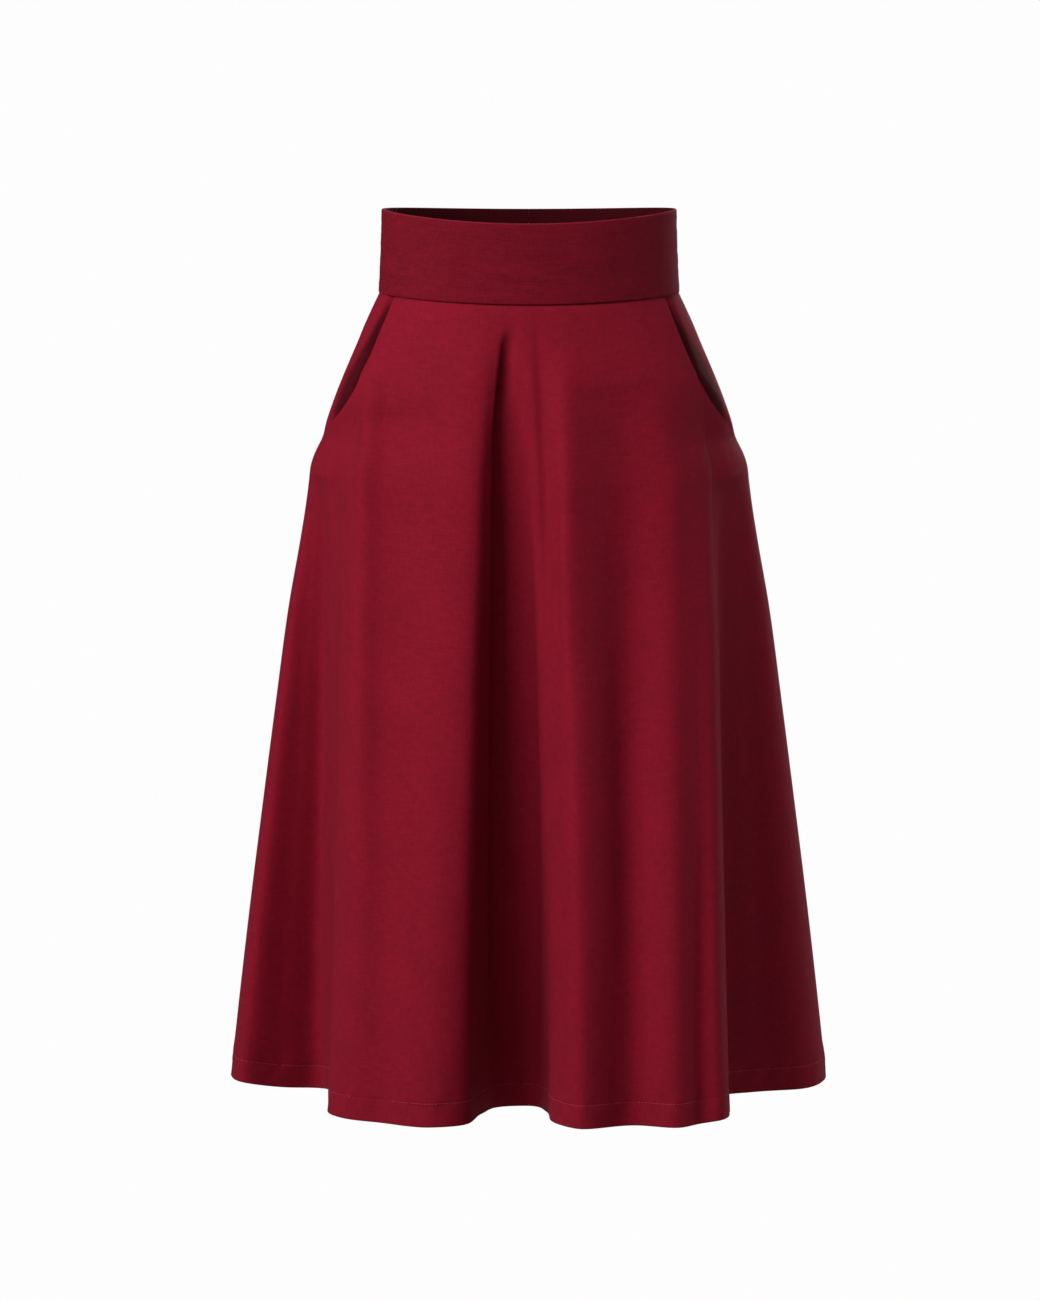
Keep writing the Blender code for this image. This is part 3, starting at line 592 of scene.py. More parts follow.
def feed_all(tree, inputs, sources):
    for name, source in sources.items():
        feed(tree, inputs[name], source)


def node(tree, kind, sources=None, **settings):
    """Adds a node, sets it up, feeds its inputs by name or number, and returns its outputs."""
    made = tree.nodes.new(kind)
    for name, value in settings.items():
        setattr(made, name, value)
    feed_all(tree, made.inputs, sources or {})
    return made.outputs


def maths(tree, operation, *sources):
    """A Math node's result."""
    return node(tree, "ShaderNodeMath", dict(enumerate(sources)), operation=operation)[0]


def wave(tree, place, length):
    """A smooth wave from 0 to 1 with the given length."""
    turn = maths(tree, "MULTIPLY", maths(tree, "DIVIDE", place, length), 2 * math.pi)
    return maths(tree, "MULTIPLY_ADD", maths(tree, "SINE", turn), 0.5, 0.5)


def noise(tree, place, scale, detail=2.0, roughness=0.5):
    sources = {"Vector": place, "Scale": scale, "Detail": detail, "Roughness": roughness}
    return node(tree, "ShaderNodeTexNoise", sources)["Fac"]


def stretched(tree, place, scale):
    return node(tree, "ShaderNodeMapping", {"Vector": place, "Scale": scale})["Vector"]


def spread_out(tree, value, low, high):
    """Stretches the values between two limits over the whole range from 0 to 1."""
    sources = {"Value": value, "From Min": low, "From Max": high}
    return node(tree, "ShaderNodeMapRange", sources, clamp=True)[0]


def mix_colour(tree, share, one, two):
    one, two = [(*colour, 1.0) if isinstance(colour, tuple) else colour for colour in (one, two)]
    return node(tree, "ShaderNodeMix", {0: share, 6: one, 7: two}, data_type="RGBA")[2]


def raised(tree, height, strength, distance):
    """The direction of a surface with fine relief."""
    sources = {"Height": height, "Strength": strength, "Distance": distance}
    return node(tree, "ShaderNodeBump", sources)[0]


def new_group(name, inputs, outputs, kind="ShaderNodeTree"):
    """A node group with its named sockets. Each input is a name, a kind and its usual value."""
    tree = bpy.data.node_groups.new(name, kind)
    for label, socket, value in inputs:
        made = tree.interface.new_socket(label, in_out="INPUT", socket_type=socket)
        if value is not None:
            made.default_value = value
    for label, socket in outputs:
        tree.interface.new_socket(label, in_out="OUTPUT", socket_type=socket)
    return tree, tree.nodes.new("NodeGroupInput").outputs, tree.nodes.new("NodeGroupOutput").inputs


def twill_group():
    """Fine twill: yarns that cross and a diagonal that they make together, uneven as spun yarn is."""
    tree, given, result = new_group(
        "twill_weave",
        (
            ("Grain", "NodeSocketVector", None),
            ("Yarn", "NodeSocketFloat", TWILL_YARN),
            ("Diagonal", "NodeSocketFloat", 0.6),
        ),
        (("Height", "NodeSocketFloat"), ("Slub", "NodeSocketFloat")),
    )
    across, down, _ = node(tree, "ShaderNodeSeparateXYZ", {0: given["Grain"]})
    crossing = maths(tree, "MULTIPLY", wave(tree, across, given["Yarn"]), wave(tree, down, given["Yarn"]))
    slant = maths(tree, "ADD", across, down)
    wale = wave(tree, slant, maths(tree, "MULTIPLY", given["Yarn"], WALE_YARNS))
    sources = {0: given["Diagonal"], 2: crossing, 3: wale}
    feed(tree, result["Height"], node(tree, "ShaderNodeMix", sources, data_type="FLOAT")[0])
    slubs = [noise(tree, stretched(tree, given["Grain"], rate), 1.0, 2.0, 0.6) for rate in SLUB_RATES]
    feed(tree, result["Slub"], spread_out(tree, maths(tree, "ADD", *slubs), *SLUB_LIMITS))
    return tree


def mottle_group():
    """Soft uneven patches, as in dyed cloth, drawn out along the warp."""
    tree, given, result = new_group(
        "dye_mottle",
        (("Grain", "NodeSocketVector", None), ("Patch Rate", "NodeSocketFloat", 60.0)),
        (("Tone", "NodeSocketFloat"),),
    )
    tall = noise(tree, stretched(tree, given["Grain"], (1.0, 0.5, 1.0)), given["Patch Rate"], 2.0, 0.55)
    small = noise(tree, given["Grain"], maths(tree, "MULTIPLY", given["Patch Rate"], 4.5), 3.0, 0.62)
    blend = maths(tree, "MULTIPLY_ADD", tall, 0.7, maths(tree, "MULTIPLY", small, 0.9))
    feed(tree, result["Tone"], spread_out(tree, blend, *MOTTLE_LIMITS))
    return tree


TWILL = twill_group()
MOTTLE = mottle_group()


def new_material(name):
    made = bpy.data.materials.new(name)
    made.use_nodes = True
    return made, made.node_tree, made.node_tree.nodes["Principled BSDF"].inputs


def cloth_material(name, light, deep, yarn, patch_rate, streaks, bump):
    """Woven cloth: twill relief, uneven yarns, soft patches of tone, a painted highlight on rounded edges and
    painted shade inside.
    """
    made, tree, shader = new_material(name)
    grain = node(tree, "ShaderNodeUVMap", uv_map="grain")[0]
    weave = node(tree, "ShaderNodeGroup", {"Grain": grain, "Yarn": yarn}, node_tree=TWILL)
    patches = {"Grain": stretched(tree, grain, streaks), "Patch Rate": patch_rate}
    tone = node(tree, "ShaderNodeGroup", patches, node_tree=MOTTLE)["Tone"]
    edge_highlight, inside = [node(tree, "ShaderNodeAttribute", attribute_name=a)["Fac"] for a in ("edge", "inside")]
    uneven = maths(tree, "MULTIPLY", maths(tree, "ADD", tone, weave["Slub"]), 0.5)
    colour = mix_colour(tree, uneven, deep, light)
    # Painted highlight: a paler copy of the colour, laid on rounded edges and over the rim
    pale = tuple(min(1.0, 1.25 * c + 0.012) for c in light)
    colour = mix_colour(tree, maths(tree, "MULTIPLY", edge_highlight, 0.5), colour, pale)
    # Painted shade: a darker copy of the deep colour, laid by the inside attribute
    colour = mix_colour(tree, inside, colour, toned(INSIDE_SHADE, deep))
    relief = maths(tree, "MULTIPLY_ADD", weave["Slub"], 0.9, weave["Height"])
    relief = maths(tree, "MULTIPLY_ADD", tone, 1.4, relief)
    finish = {
        "Base Color": colour,
        "Roughness": maths(tree, "MULTIPLY_ADD", tone, 0.12, 0.74),
        "Specular IOR Level": 0.25,
        "Specular Tint": (1.0, 0.22, 0.3, 1.0),
        "Sheen Weight": 0.07,
        "Sheen Roughness": 0.4,
        "Sheen Tint": (1.0, 0.12, 0.2, 1.0),
        "Normal": raised(tree, relief, bump, CLOTH_BUMP),
    }
    feed_all(tree, shader, finish)
    made.diffuse_color = (*light, 1.0)
    return made


def thread_material(name):
    """Twisted sewing thread."""
    made, tree, shader = new_material(name)
    fuzz = noise(tree, node(tree, "ShaderNodeTexCoord")["Object"], 2400.0)
    finish = {
        "Base Color": mix_colour(tree, fuzz, THREAD_RED, toned(0.75, THREAD_RED)),
        "Roughness": maths(tree, "MULTIPLY_ADD", fuzz, 0.2, 0.5),
        "Sheen Weight": 0.1,
    }
    feed_all(tree, shader, finish)
    return made


def painted_metal_material():
    """Painted zip metal, with fine specks and worn places."""
    made, tree, shader = new_material("painted_zip_metal")
    speck = noise(tree, node(tree, "ShaderNodeTexCoord")["Object"], 900.0, 4.0, 0.65)
    worn = spread_out(tree, speck, 0.62, 0.72)
    finish = {
        "Base Color": mix_colour(tree, worn, METAL_RED, WORN_METAL),
        "Metallic": maths(tree, "MULTIPLY_ADD", worn, 0.5, 0.4),
        "Roughness": maths(tree, "MULTIPLY_ADD", speck, 0.25, 0.22),
        "Normal": raised(tree, speck, 0.3, METAL_BUMP),
    }
    feed_all(tree, shader, finish)
    return made


EVEN = (1.0, 1.0, 1.0)
SKIRT_CLOTH = cloth_material("skirt_twill", CLOTH_RED, CLOTH_DEEP, TWILL_YARN, 42.0, EVEN, 0.6)
BAND_TWILL = cloth_material("waistband_twill", BAND_RED, BAND_DEEP, TWILL_YARN, 42.0, (0.35, 2.6, 1.0), 0.6)
POCKET_CLOTH = cloth_material("pocket_cloth", POCKET_RED, toned(0.8, POCKET_RED), 0.0003, 70.0, EVEN, 0.7)
TAPE_CLOTH = cloth_material("zip_tape_cloth", TAPE_RED, toned(0.75, TAPE_RED), 0.0005, 90.0, EVEN, 1.0)
THREAD = thread_material("sewing_thread")
COIL_THREAD = thread_material("zip_coil_thread")
ZIP_METAL = painted_metal_material()


# Skirt panels
def panel_drops():
    """Drops of a panel's loops: closer together at the waist, the pockets and the hem's stitching."""
    stitch = SKIRT_LENGTH - HEM_STITCH_UP
    top = [-SEAM_ALLOWANCE, -0.004, -0.0015, 0.0, 0.0012, 0.003, 0.0055, 0.008]
    hips = list(np.linspace(0.011, 0.150, 42))
    length = list(np.linspace(0.154, stitch - 0.012, 92))
    hem = [-9, -7, -5.4, -4, -3, -2.2, -1.5, -0.9, -0.4, 0, 0.4, 0.9, 1.5, 2.2, 3, 4.2]
    hem = [stitch + at * MM for at in hem] + list(np.linspace(stitch + 0.0058, SKIRT_LENGTH - 0.0016, 8))
    return top + hips + length + hem


def panel_half(drop):
    """Half the cloth's thickness: it is double where the hem is turned up inside."""
    share = 1 - clamp((SKIRT_LENGTH - HEM_TURN_UP - drop) / CLOTH + 0.5)
    return CLOTH / 2 * (1 + share**2 * (3 - 2 * share))


def seam_relief(drop):
    """The seam under the waistband pulls the cloth in."""
    return -SEAM_PULL * math.exp(-((max(drop, 0.0) / SEAM_PULL_REACH) ** 2))


def back_relief(columns, drop):
    return crease_relief(columns, drop) + hem_relief(columns, drop) + seam_relief(drop)


def front_relief(columns, drop):
    return back_relief(columns, drop) + stand_off(columns, drop)


def build_panel(name, columns_of, centre, relief):
    """A panel from the waist seam's allowance to the hem's rounded fold."""

    def row(drop, half, middle):
        loop, where, edge = cloth_loop(columns_of(drop), drop, middle, half, CLOTH / 2, relief)
        # Painted highlight on the panel's side edges and over the hem's rounded fold
        highlight = np.maximum(edge, HEM_HIGHLIGHT if drop > SKIRT_LENGTH - 0.001 else 0.0)
        return loop, cloth_uv(where, drop, centre), highlight, shaded_inner_face(len(loop))

    rows = [row(drop, panel_half(drop), panel_half(drop)) for drop in panel_drops()]
    for angle in np.radians([0.0, 25.0, 50.0, 72.0, 86.0]):
        rows.append(row(SKIRT_LENGTH - CLOTH * (1 - math.sin(angle)), CLOTH * math.cos(angle), CLOTH))
    return shell(name, rows, SKIRT_CLOTH)


FRONT_STEPS = np.concatenate(
    [
        np.linspace(-90, -76, 17)[:-1],
        np.linspace(-76, -44, 40)[:-1],
        np.linspace(-44, 44, 100)[:-1],
        np.linspace(44, 76, 40)[:-1],
        np.linspace(76, 90, 17),
    ]
)
PLAIN_TURNS = 38.0


def front_columns(drop):
    """Between the pocket openings the columns run straight down; beside them they follow the curved edges."""
    columns = FRONT_STEPS.copy()
    for side in (-1, 1):
        edge = side * pocket_edge_column(drop, side)
        beside = side * FRONT_STEPS > PLAIN_TURNS
        share = (side * FRONT_STEPS[beside] - PLAIN_TURNS) / (90.0 - PLAIN_TURNS)
        columns[beside] = side * (PLAIN_TURNS + share * (edge - PLAIN_TURNS))
    return columns


def back_columns(first, last):
    steps = even_steps(first, last, PANEL_SPACING, SKIRT_LENGTH)
    return lambda drop: steps


FRONT = build_panel("front_panel_cloth", front_columns, 0.0, front_relief)
BACK_LEFT = build_panel("back_panel_left_cloth", back_columns(90.0, 180.0), 180.0, back_relief)
BACK_RIGHT = build_panel("back_panel_right_cloth", back_columns(180.0, 270.0), 180.0, back_relief)


# Waistband: one layer folded over at the rim; its outer and inner walls part over the panels' allowance
# Shares of its thickness at its seam edges. Ripples: lengths across and up, height (mm) and where each starts
BAND_THIN_ENDS = {0: 0.25, 1: 0.7, 2: 0.95}
BAND_RIPPLES = ((31.0, 11.0, 0.10, 0.3), (17.0, 6.5, 0.06, 1.7), (48.0, 19.0, 0.12, 4.0))


def band_section():
    """Drop, depth and lean along the middle of the cloth, up the outer wall, over the rim and down inside."""
    outer = -BAND_PROUD + BAND_CLOTH / 2
    inner = BAND_DEPTH - BAND_CLOTH / 2
    middle = (outer + inner) / 2
    radius = (inner - outer) / 2
    top = BAND_HEIGHT - radius - BAND_CLOTH / 2
    rises = [0.0, 0.0006, 0.0016, 0.003, 0.005] + list(np.linspace(0.008, 0.060, 22)) + [0.0625, 0.0645, top]
    path = [(-rise, outer, 0.0) for rise in rises]
    for angle in np.radians([20, 40, 60, 80, 100, 120, 140, 160]):
        path.append((-(top + radius * math.sin(angle)), middle - radius * math.cos(angle), angle))
    path += [(-rise, inner, math.pi) for rise in rises[::-1]]
    return path


def band_relief(turns, drop):
    """Long shallow ripples along the waistband, fading out near its seam and its rim."""
    scale = degree_length(0.0) / MM
    place = turns * scale
    rise = -drop / MM
    result = np.zeros(len(turns))
    for across, up, height, start in BAND_RIPPLES:
        slow = np.sin(2 * math.pi * place / (across * 5) + start)
        climb = 2 * math.pi * rise / up + start
        result += height * np.sin(climb + 1.4 * slow) * np.cos(place / across / 2 + start)
    inside = clamp(rise / 8.0) * clamp((BAND_HEIGHT / MM - rise) / 8.0)
    return result * MM * inside


def build_band(name, first, last):
    """A length of waistband between a side seam and the centre back or the other side seam."""
    turns = even_steps(first, last, BAND_SPACING, 0.0)
    path = band_section()
    scale = degree_length(0.0)
    ends = ROUND_BACK * BAND_CLOTH / 2 / scale
    places = np.concatenate([first + ends, turns[1:-1], last - ends[::-1]])
    thin = rounded(len(turns) - 2)
    columns = columns_at(places, 0.0)
    rows = []
    run = 0.0
    for k, (drop, depth, lean) in enumerate(path):
        run += abs(drop - path[max(k - 1, 0)][0])
        half = BAND_CLOTH / 2 * BAND_THIN_ENDS.get(min(k, len(path) - 1 - k), 1.0)
        normals = cloth_normals(columns, drop)
        base = skirt_ring(columns, drop) + normals * (band_relief(places, drop) - depth)[:, None]
        out = normals * math.cos(lean)
        out[:, 2] += math.sin(lean)
        out *= (half * thin)[:, None]
        grain = np.column_stack([(places - 180.0) * scale, np.full(len(places), run)])
        # Painted highlight on the outer face: at the band's cut ends and over the rounded rim
        highlight = np.maximum(1 - thin, math.sin(lean))[::-1]
        # Painted shade on the band's inside: its hidden face all through, and its outer face from over the
        # rim down the inner wall
        tone = np.repeat([1.0, clamp((lean - 1.3) / 0.9)], len(places))
        loop = np.vstack([base - out, (base + out)[::-1]])
        rows.append((loop, np.vstack([grain, grain[::-1]]), np.concatenate([highlight * 0, highlight]), tone))
    return shell(name, rows, BAND_TWILL)


BAND_FRONT = build_band("waistband_front_cloth", -90.0, 90.0)
BAND_LEFT = build_band("waistband_back_left_cloth", 90.0, 180.0)
BAND_RIGHT = build_band("waistband_back_right_cloth", 180.0, 270.0)


# Pockets
def bag_edges(drop, side):
    """Columns of the pocket bag's outer and inner edge at a drop, and how far the bag hollows out."""
    names = ("outer_turn", "inner_turn", "bag_hollow")
    outer, inner, hollow = [at_drop(BAG, max(drop, 0.0), name) for name in names]
    outer = min(outer, 90.0)
    return float(columns_at(side * outer, drop)), float(columns_at(side * inner, drop)), hollow * MM


def bag_hang(drop):
    """Below the opening the bag hangs a little clear of the front."""
    return BAG_HANG * clamp((drop - HANG_FROM) / HANG_GROWS)


def pocket_dip(drop):
    """How deep the hip piece falls away behind the opening's edge."""
    if not 0 < drop < POCKET_DEPTH:
        return 0.0
    return DIP_SHARE * pocket_gape(drop) * MM


def bag_drops():
    return [-SEAM_ALLOWANCE, -0.002, SEAM_GAP, 0.004] + list(np.linspace(0.009, 0.235, 62))


def build_strip(name, side, columns_of, depth_of, thickness, finish):
    """A pocket piece: a thin wall at its own depth behind the front."""
    rows = []
    for drop in bag_drops():
        columns = columns_of(drop)
        depth = depth_of(columns, drop)
        if side > 0:
            columns, depth = columns[::-1], depth[::-1]
        loop, where, edge = cloth_loop(columns, drop, depth + thickness / 2, thickness / 2, thickness / 2)
        # Painted shade: the pocket mouth's darkening, and the inner face's
        shade = np.maximum(pocket_shade(where, drop, side), shaded_inner_face(len(loop)))
        rows.append((loop, cloth_uv(where, drop, side * 90.0), edge, shade))
    return shell(name, rows, finish)


def fallen(columns, drop, side):
    """From 0 on the hip to 1 behind the front: how far the hip piece has fallen into the pocket."""
    if drop >= POCKET_DEPTH:
        return np.ones(len(columns))
    edge = pocket_edge_column(drop, side)
    span = min(DIP_REACH, DIP_LIMIT * max(90.0 - side * edge, 0.5))
    behind = np.clip(1.0 - side * (columns - edge) / span, 0.0, 1.0)
    return behind**2 * (3 - 2 * behind)


def pocket_shade(columns, drop, side):
    """Painted shade: the hip piece darkens from the strip beside the side seam into the pocket."""
    if drop >= POCKET_DEPTH:
        return np.ones(len(columns))
    edge = side * pocket_edge_column(drop, side)
    gape = pocket_gape(max(drop, 0.0))
    share = (side * columns - edge) / (90.0 - edge)
    seen = SHADE_SEEN * gape + SHADE_DROP * (drop / POCKET_DEPTH) ** 3
    ramp = np.clip((SHADE_FROM + seen - share) / SHADE_WIDTH, 0.0, 1.0)
    return ramp**2 * (3 - 2 * ramp) * min(gape, 1.0)


def build_hip_piece(name, side):
    """The strip seen in the pocket opening, which runs on behind the front as the back of the bag."""
    shares = np.concatenate([np.linspace(0.0, 0.55, 34)[:-1], np.linspace(0.55, 1.0, 18)])

    def columns_of(drop):
        outer, inner, _ = bag_edges(drop, side)
        return outer + (inner - outer) * shares

    def depth_of(columns, drop):
        outer, inner, hollow = bag_edges(drop, side)
        edge = pocket_edge_column(drop, side)
        under = CLOTH + BAG_CLOTH + 2 * BAG_GAP + bag_hang(drop)
        sewn = edge if drop < POCKET_DEPTH else outer
        reach = np.clip(side * (sewn - columns) / (side * (sewn - inner)), 0.0, 1.0)
        sag = np.where(side * (edge - columns) > 0, hollow * np.sin(math.pi * reach) ** BAG_SAG_EASE, 0.0)
        return (under + pocket_dip(drop) * (1 - reach) ** DIP_EASE) * fallen(columns, drop, side) + sag

    return build_strip(name, side, columns_of, depth_of, BAG_CLOTH, SKIRT_CLOTH)


def build_bag(name, side):
    """The front of the pocket bag, which hangs from the edge of the opening behind the front."""
    shares = np.linspace(0.0, 1.0, 44)

    def columns_of(drop):
        outer, inner, _ = bag_edges(drop, side)
        if drop < POCKET_DEPTH:
            outer = side * min(side * pocket_edge_column(drop, side) - BAG_INSET, BAG_OUTER_LIMIT)
        return outer + (inner - outer) * shares

    def depth_of(columns, drop):
        return CLOTH + BAG_GAP + bag_hang(drop) - stand_off(columns, drop)

    return build_strip(name, side, columns_of, depth_of, BAG_CLOTH, POCKET_CLOTH)


HIP_LEFT = build_hip_piece("hip_piece_left_cloth", 1)
HIP_RIGHT = build_hip_piece("hip_piece_right_cloth", -1)
BAG_LEFT = build_bag("pocket_bag_left_cloth", 1)
BAG_RIGHT = build_bag("pocket_bag_right_cloth", -1)


# Stitches and zip coil, laid by Geometry Nodes along a path
def along_path_tree(name, shape):
    """A tree that repeats a small shape along a path. shape(tree, given) returns the shape's socket."""
    tree, given, result = new_group(
        name,
        (
            ("Geometry", "NodeSocketGeometry", None),
            ("Pitch", "NodeSocketFloat", None),
            ("Length", "NodeSocketFloat", None),
            ("Thickness", "NodeSocketFloat", None),
            ("Finish", "NodeSocketMaterial", None),
        ),
        (("Geometry", "NodeSocketGeometry"),),
        "GeometryNodeTree",
    )
    line = node(tree, "GeometryNodeMeshToCurve", {0: given["Geometry"]})[0]
    spacing = {"Curve": line, "Length": given["Pitch"]}
    spaced = node(tree, "GeometryNodeResampleCurve", spacing, mode="LENGTH")[0]
    outward = node(tree, "GeometryNodeInputNamedAttribute", {"Name": "outward"}, data_type="FLOAT_VECTOR")[0]
    tangent = node(tree, "GeometryNodeInputTangent")[0]
    along = node(tree, "FunctionNodeAlignRotationToVector", {"Vector": tangent}, axis="X")[0]
    both = {"Rotation": along, "Vector": outward}
    facing = node(tree, "FunctionNodeAlignRotationToVector", both, axis="Z", pivot_axis="X")[0]
    placed = {"Points": spaced, "Instance": shape(tree, given), "Rotation": facing}
    repeated = node(tree, "GeometryNodeInstanceOnPoints", placed)[0]
    real = node(tree, "GeometryNodeRealizeInstances", {0: repeated})[0]
    painted = node(tree, "GeometryNodeSetMaterial", {"Geometry": real, "Material": given["Finish"]})[0]
    feed(tree, result["Geometry"], node(tree, "GeometryNodeSetShadeSmooth", {"Geometry": painted})[0])
    return tree


def stitch_shape(tree, given):
    """One stitch: a short rounded length of thread."""
    ball = node(tree, "GeometryNodeMeshUVSphere", {"Segments": 8, "Rings": 5, "Radius": 0.5})[0]
    sizes = {0: given["Length"], 1: given["Thickness"], 2: given["Thickness"]}
    size = node(tree, "ShaderNodeCombineXYZ", sizes)[0]
    return node(tree, "GeometryNodeTransform", {"Geometry": ball, "Scale": size})[0]


def circle(tree, width, corners):
    radius = maths(tree, "MULTIPLY", width, 0.5)
    return node(tree, "GeometryNodeCurvePrimitiveCircle", {"Resolution": corners, "Radius": radius})[0]


def coil_shape(tree, given):
    """One turn of the zip's coil: a flattened ring of thread that stands across the tape."""
    upright = {
        "Geometry": circle(tree, given["Length"], 10),
        "Rotation": (0.0, math.radians(90.0), 0.0),
        "Scale": (1.0, 1.0, 0.55),
    }
    ring = node(tree, "GeometryNodeTransform", upright)[0]
    wire = {"Curve": ring, "Profile Curve": circle(tree, given["Thickness"], 5)}
    return node(tree, "GeometryNodeCurveToMesh", wire)[0]


STITCH_TREE = along_path_tree("running_stitch", stitch_shape)
COIL_TREE = along_path_tree("zip_coil", coil_shape)


def repeat_along(name, points, outward, tree, **inputs):
    """Repeats the tree's shape along an open line of points, each with its way out, as a plain mesh."""
    line = bpy.data.meshes.new(name + "_path")
    line.from_pydata([tuple(p) for p in points], [(i, i + 1) for i in range(len(points) - 1)], [])
    facing = line.attributes.new("outward", "FLOAT_VECTOR", "POINT")
    facing.data.foreach_set("vector", np.asarray(outward, np.float32).ravel())
    path = add_object(name + "_path", line)
    modifier = path.modifiers.new("repeat", "NODES")
    modifier.node_group = tree
    named = {item.name: item.identifier for item in tree.interface.items_tree if item.in_out == "INPUT"}
    for label, value in inputs.items():
        modifier[named[label]] = value
    bpy.context.view_layer.update()
    graph = bpy.context.evaluated_depsgraph_get()
    mesh = bpy.data.meshes.new_from_object(path.evaluated_get(graph), depsgraph=graph)
    bpy.data.objects.remove(path)
    mesh.name = name
    return add_object(name, mesh)


def hem_stitches(name, columns_of):
    """A running stitch all along a panel's hem, on its outer face."""
    drop = SKIRT_LENGTH - HEM_STITCH_UP
    columns = columns_of(drop)
    fine = np.linspace(columns[0], columns[-1], len(columns) * 3)
    normals = cloth_normals(fine, drop)
    points = skirt_ring(fine, drop) + normals * (hem_relief(fine, drop) - STITCH_SINK)[:, None]
    return repeat_along(name, points, normals, STITCH_TREE, Finish=THREAD, **STITCH_SIZES)


STITCHES_FRONT = hem_stitches("hem_stitches_front", front_columns)
STITCHES_LEFT = hem_stitches("hem_stitches_back_left", back_columns(90.0, 180.0))
STITCHES_RIGHT = hem_stitches("hem_stitches_back_right", back_columns(180.0, 270.0))


# Zip
def tape_frame(drop, side):
    """The zip line's point on the cloth, the way across the tape and the way out."""
    seam, beside = skirt_ring([180.0, 180.0 - side * 4.5], drop)
    along = (beside - seam) / np.linalg.norm(beside - seam)
    normal = cloth_normals([180.0 - side * 2.0], drop)[0]
    return seam, along, normal


def build_tape(name, side):
    """One tape of the concealed zip, flat against the inside of its half of the back."""
    offsets = np.array([0.0, 0.25, 0.6, 2.0, 4.0, 6.0, 8.0, 10.0, 11.4, 11.75, 12.0]) * MM
    swell = np.array([0.2, 0.75, 1, 1, 1, 1, 1, 1, 1, 0.75, 0.2])
    rows = []
    for drop in np.linspace(-TAPE_TOP, ZIP_LENGTH, 70):
        seam, along, normal = tape_frame(drop, side)
        middle = seam + np.outer(ZIP_SLOT + offsets, along) - normal * (TAPE_DEPTH + TAPE_THICKNESS / 2)
        move = np.outer(swell * TAPE_THICKNESS / 2, normal)
        loop = np.vstack([middle + move, (middle - move)[::-1]])
        where = np.column_stack([np.concatenate([offsets, offsets[::-1]]), np.full(len(loop), -drop)])
        if side > 0:
            loop, where = loop[::-1], where[::-1]
        rows.append((loop, where, np.zeros(len(loop)), shaded_inner_face(len(loop))))
    return shell(name, rows, TAPE_CLOTH)


def build_coil(name, side):
    points, outward = [], []
    for drop in np.linspace(-COIL_TOP, ZIP_LENGTH - 0.004, 60):
        seam, along, normal = tape_frame(drop, side)
        points.append(seam + along * (ZIP_SLOT - 0.0001) - normal * (TAPE_DEPTH + TAPE_THICKNESS + COIL_OFF))
        outward.append(normal)
    return repeat_along(name, points, outward, COIL_TREE, Finish=COIL_THREAD, **COIL_SIZES)


TAPE_LEFT = build_tape("zip_tape_left_cloth", 1)
TAPE_RIGHT = build_tape("zip_tape_right_cloth", -1)
COIL_LEFT = build_coil("zip_coil_left", 1)
COIL_RIGHT = build_coil("zip_coil_right", -1)

for node_name in ("zip_slider", "zip_pull"):
    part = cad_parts[node_name]
    part.data.materials.clear()
    part.data.materials.append(ZIP_METAL)


# What each piece rides on and stands for
def tell(piece, cad, sewn=()):
    """Attaches a piece and what is sewn on it to the skirt's body, and hides the solid that it stands for."""
    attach(piece, "skirt")
    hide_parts(cad)
    for thread in sewn:
        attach(thread, "skirt")


for piece, cad, flat, area, above, stitches in (
    (FRONT, "front_panel", (1.02, 0.71), 0.457, "waistband_front_cloth", STITCHES_FRONT),
    (BACK_LEFT, "back_panel_left", (0.45, 0.71), 0.21, "waistband_back_left_cloth", STITCHES_LEFT),
    (BACK_RIGHT, "back_panel_right", (0.45, 0.71), 0.21, "waistband_back_right_cloth", STITCHES_RIGHT),
):
    tell(piece, cad, [stitches])
for piece, cad, width in (
    (BAND_FRONT, "waistband_front", 0.345),
    (BAND_LEFT, "waistband_back_left", 0.18),
    (BAND_RIGHT, "waistband_back_right", 0.18),
):
    tell(piece, cad)
for piece, cad, slot in (
    (HIP_LEFT, "hip_piece_left", "cloth"),
    (HIP_RIGHT, "hip_piece_right", "cloth"),
    (BAG_LEFT, "pocket_bag_left", "pocket_cloth"),
    (BAG_RIGHT, "pocket_bag_right", "pocket_cloth"),
):
    tell(piece, cad)
for piece, cad, coil in ((TAPE_LEFT, "zip_tape_left", COIL_LEFT), (TAPE_RIGHT, "zip_tape_right", COIL_RIGHT)):
    tell(piece, cad, [coil])


# Studio: a pale floor and backdrop, a broad light from the left and weak ones above, right and behind
def camera_or_light(tree, lit, seen):
    """One look to the camera, and another for the light that reaches the cloth."""
    camera_ray = node(tree, "ShaderNodeLightPath")["Is Camera Ray"]
    return node(tree, "ShaderNodeMixShader", {0: camera_ray, 1: lit, 2: seen})[0]


def stage_material():
    """Pale paper that looks evenly lit to the camera, and is a quiet grey to the cloth."""
    made, tree, shader = new_material("pale_paper")
    feed_all(tree, shader, {"Base Color": QUIET_GREY, "Roughness": 0.95})
    glow = node(tree, "ShaderNodeEmission", {"Color": PALE})[0]
    paper = tree.nodes["Principled BSDF"].outputs[0]
    feed(tree, tree.nodes["Material Output"].inputs[0], camera_or_light(tree, paper, glow))
    return made


def build_floor():
    corners = [(FLOOR_REACH * x, FLOOR_REACH * y, FLOOR_Z) for x, y in ((-1, -1), (1, -1), (1, 1), (-1, 1))]
    mesh = bpy.data.meshes.new("floor")
    mesh.from_pydata(corners, [], [(0, 1, 2, 3)])
    mesh.materials.append(stage_material())
    add_object("floor", mesh)


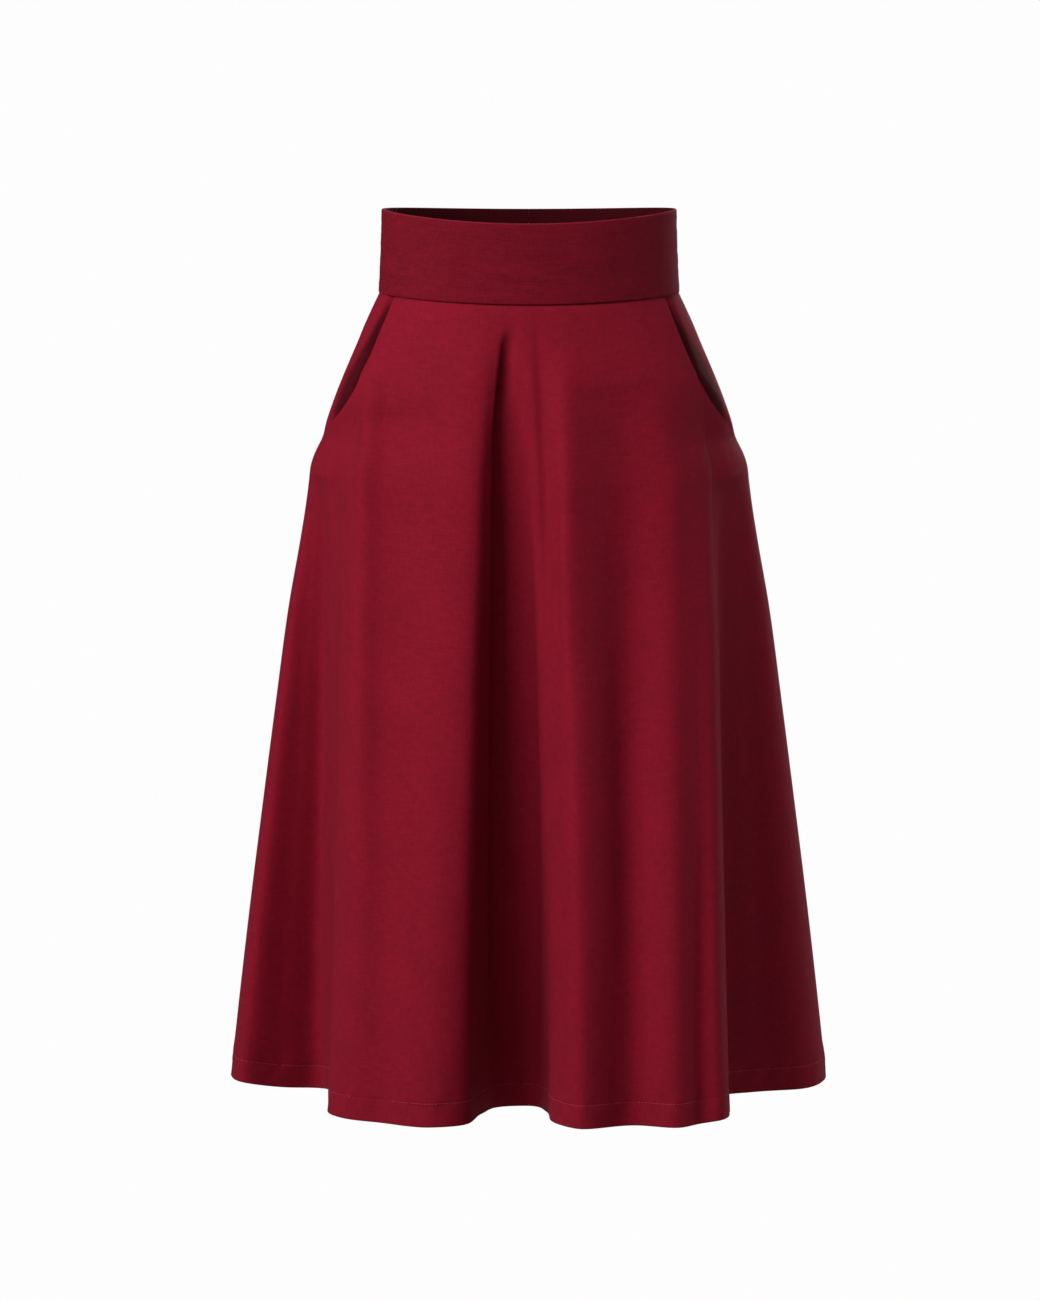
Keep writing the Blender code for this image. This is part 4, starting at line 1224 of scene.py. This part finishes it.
def area_light(name, place, target, size, power):
    """A rectangular light that faces a point."""
    data = bpy.data.lights.new(name, "AREA")
    data.shape = "RECTANGLE"
    data.size, data.size_y = size
    data.energy = power
    made = add_object(name, data)
    made.location = place
    x, y, z = np.array(target) - np.array(made.location)
    made.rotation_euler = (math.atan2(math.hypot(x, y), -z), 0.0, math.atan2(-x, y))


def build_world():
    world = bpy.data.worlds.new("studio")
    bpy.context.scene.world = world
    world.use_nodes = True
    tree = world.node_tree
    tree.nodes.clear()
    seen = node(tree, "ShaderNodeBackground", {0: PALE})[0]
    dim = node(tree, "ShaderNodeBackground", {0: WARM_WHITE, 1: AMBIENT})[0]
    node(tree, "ShaderNodeOutputWorld", {0: camera_or_light(tree, dim, seen)})


PALE = (0.985, 0.985, 0.985, 1.0)
QUIET_GREY = (0.3, 0.3, 0.3, 1.0)
WARM_WHITE = (1.0, 0.98, 0.97, 1.0)
AMBIENT = 0.03
FLOOR_Z = HEM_Z - 0.36
FLOOR_REACH = 14.0
build_floor()
build_world()
area_light("key_left", (-2.2, -1.9, 1.45), (0.0, 0.0, -0.2), (2.6, 1.3), 122.0)
area_light("top", (-0.1, -1.5, 2.3), (0.0, 0.0, -0.1), (1.2, 1.2), 20.0)
area_light("rim_right", (3.4, 0.2, 0.4), (0.0, 0.0, -0.3), (1.0, 2.0), 34.0)
area_light("back_soft", (1.3, 3.3, 0.7), (0.0, 0.0, -0.25), (2.4, 1.6), 45.0)

# Camera, as far away and as low as the photograph's
CAMERA_PLACE = (-0.0075, -5.0, 0.27)
CAMERA_PITCH = 6.878
FRAME_HEIGHT = 1300
FOCAL_PIXELS = 6037.0
camera_data = bpy.data.cameras.new("camera")
camera_data.sensor_width = 36.0
camera_data.lens = camera_data.sensor_width * FOCAL_PIXELS / FRAME_HEIGHT
camera_data.clip_end = 200.0
camera = bpy.data.objects.new("camera", camera_data)
camera.location = CAMERA_PLACE
camera.rotation_euler = (math.radians(90.0 - CAMERA_PITCH), 0.0, 0.0)
bpy.context.scene.collection.objects.link(camera)
bpy.context.scene.camera = camera
bpy.context.scene.view_settings.view_transform = "Standard"
